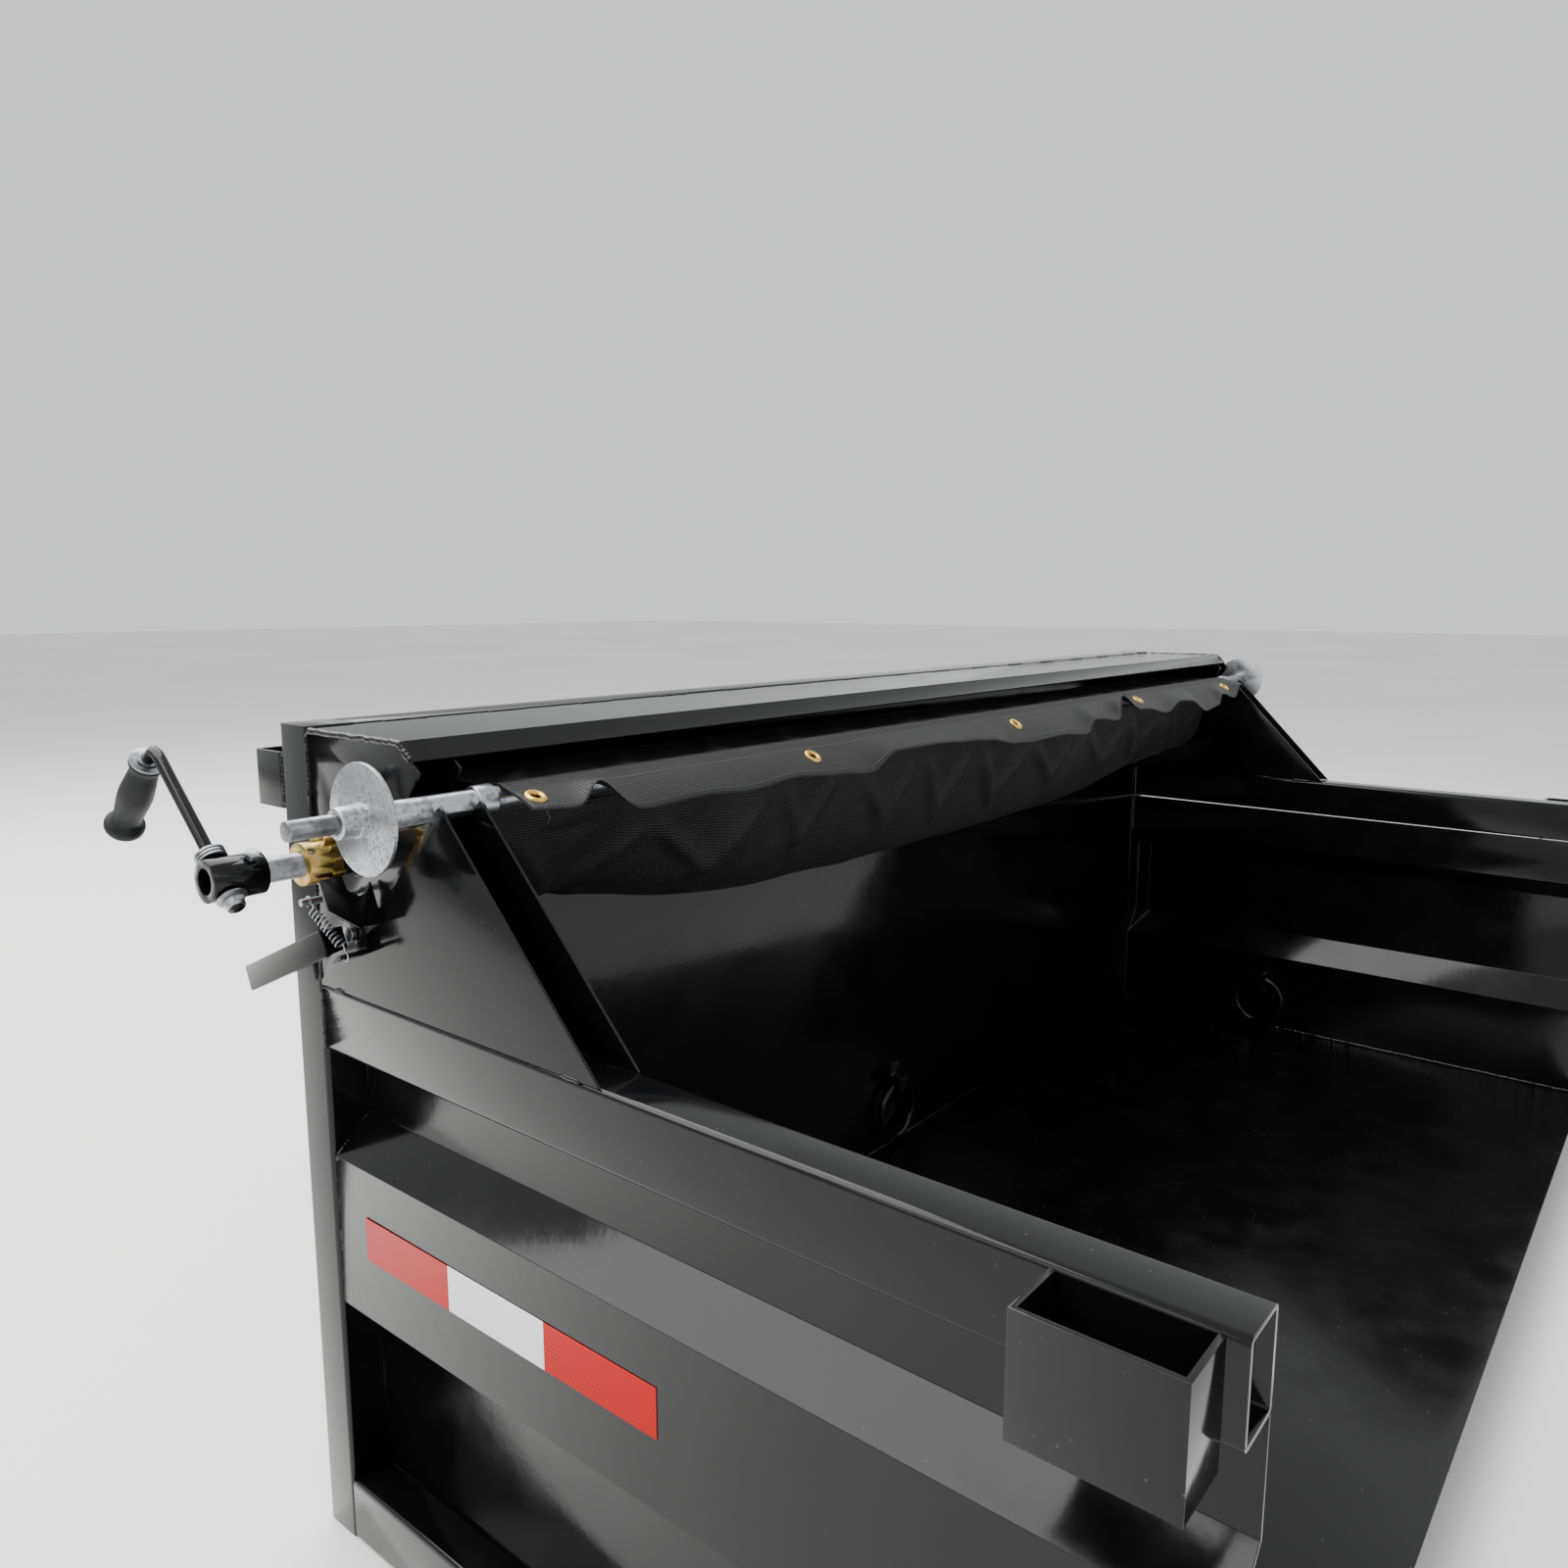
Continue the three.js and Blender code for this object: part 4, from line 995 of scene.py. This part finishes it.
bedWelds.append(bead([spot(-wallIn, 2, floorUp + 1), spot(wallIn, 2, floorUp + 1)], 3.4, 3.4))
seamEnd = halfWidth - 0.05
backSeam = dashes(spot(-seamEnd, -0.5, hoodTop + 0.2), spot(seamEnd, -0.5, hoodTop + 0.2), 60, 90, 1.8)
bracketLow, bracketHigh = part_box("front_bracket")
bracketTop, bracketFoot = bracketHigh.z - 2 * mm, bracketLow.z + 2 * mm
for x in (bracketLow.x + 3 * mm, bracketHigh.x - 1 * mm):
    postWelds.append(bead([(x, bracketLow.y, bracketTop), (x, bracketLow.y, bracketFoot)], 3.2))
weldPiece("weld_hood_ends", hoodWelds)
weldPiece("weld_posts", postWelds)
weldPiece("weld_bed_corners", bedWelds)
weldPiece("weld_wing_feet", footWelds)
weldPiece("weld_hood_back", backSeam)
weldPiece("weld_sleeves", sleeveWelds)
print("welds are laid")


# the pawl's return spring, hooked over its fixed post and through the tab

springLook = {"coil": 4.7, "wire": 0.95, "turns": 10, "overPost": 5.2, "throughTab": 5.1}
postLow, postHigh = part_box("spring_post")
postAxis = Vector((0, (postLow.y + postHigh.y) / 2, (postLow.z + postHigh.z) / 2))
pivotPlace = next(Vector(j["pos_m"]) for j in frame["joints"] if j["name"] == "pawl_release")
leverTilt = math.radians(23.5)


def leverSpot(x, forward, up):  # millimetres from the pivot, in the lever's own tilted frame
    return Vector((-halfWidth + x * mm,
                   pivotPlace.y + (forward * math.cos(leverTilt) + up * math.sin(leverTilt)) * mm,
                   pivotPlace.z + (up * math.cos(leverTilt) - forward * math.sin(leverTilt)) * mm))


coilTop, coilEnd = leverSpot(-43.2, 4.2, 33), leverSpot(-33, -12.6, -11.5)
tabHook = leverSpot(-33, -14.8, -23.2)


def hookRound(centre, start, way, radius):  # an open hook round a centre, from where the coil ends
    begin = math.atan2(start.z - centre.z, start.y - centre.y)
    angles = [begin + way * step * 0.42 for step in range(1, 13)]
    return [centre + Vector((0, math.cos(a), math.sin(a))) * radius * mm for a in angles]


def springLine():
    along = coilEnd - coilTop
    axis = along.normalized()
    side = axis.cross(Vector((1, 0, 0))).normalized()
    other = axis.cross(side)
    coil, steps = springLook["coil"] * mm, springLook["turns"] * 14
    helix = []
    for i in range(steps + 1):
        angle = i * math.pi / 7
        out = side * math.cos(angle) + other * math.sin(angle)
        helix.append(coilTop + along * (i / steps) + out * coil)
    postHook = Vector((coilTop.x, postAxis.y, postAxis.z))
    over = hookRound(postHook, helix[0], -1, springLook["overPost"])
    under = hookRound(tabHook, helix[-1], 1, springLook["throughTab"])
    return [*reversed(over), *helix, *under]


springCurve = springLine()
pawlSpring = meshObject("pawl_return_spring", *sweep(springCurve, springLook["wire"] * mm, 8))
pawlSpring.data.materials.append(zincPlated)
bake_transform(pawlSpring)
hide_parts("pawl_spring")


# a lock nut with chamfered corners, and the grip

def jointAxis(name):
    joint = next(j for j in frame["joints"] if j["name"] == name)
    return Vector(joint["pos_m"]), Vector(joint["axis"]).normalized()


# a profile of (along, radius) turned round an axis; a third value marks the rows that are hexagonal
def turnedOn(profile, origin, axis, around=48, hexAcross=None):
    side = axis.orthogonal().normalized()
    other = axis.cross(side)
    vertices, faces = [], []
    for along, radius, *isHex in profile:
        for k in range(around):
            angle = 2 * math.pi * k / around
            reach = radius
            if isHex:
                flatAngle = (angle % (math.pi / 3)) - math.pi / 6
                reach = min(radius, hexAcross / 2 / math.cos(flatAngle))
            out = side * math.cos(angle) + other * math.sin(angle)
            vertices.append(origin + axis * along * mm + out * reach * mm)
    for i in range(len(profile) - 1):
        for k in range(around):
            a, b = i * around + k, i * around + (k + 1) % around
            faces.append((a, b, b + around, a + around))
    faces.append(tuple(reversed(range(around))))
    last = (len(profile) - 1) * around
    faces.append(tuple(range(last, last + around)))
    return vertices, faces


armAt, armAxis = jointAxis("arm_swivel")
nutProfile = [(-22.1, 9), (-22.1, 13.6), (-22.7, 14.4), (-23.8, 14.2), (-25.4, 11.4), (-25.6, 9.6, 1),
              (-26.4, 10.6, 1), (-31.2, 10.6, 1), (-32.2, 9.4, 1), (-32.4, 9.1), (-34.2, 8.9), (-35.4, 8.2)]
lockNut = meshObject("flange_lock_nut", *turnedOn(nutProfile, armAt, armAxis, 48, 18.4))
finishPiece(lockNut, "crank_arm", zincPlated, ["arm_lock_nut"])


def roughEdge(piece, angle=35):  # flat where it should be flat, and round elsewhere
    piece.data.set_sharp_from_angle(angle=math.radians(angle))


roughEdge(lockNut)

gripAt, gripAxis = jointAxis("grip_spin")
gripShape = [(24, 16.2), (27, 17.4), (31.5, 14.5), (38, 14), (60, 16.2), (78, 17.1), (106, 14.6), (113, 14.4),
             (119, 19), (123, 19.9), (127.5, 19.4), (131, 15.5), (132, 2)]
gripProfile = smoothLine(gripShape, 70).tolist()
gripPiece = meshObject("grip_cover", *turnedOn([(24.2, 7.4), (24.1, 12), *gripProfile], gripAt, gripAxis, 56))
finishPiece(gripPiece, "hand_grip", rubber, ["hand_grip"])
roughEdge(gripPiece, 60)
print("spring, nut and grip are made")
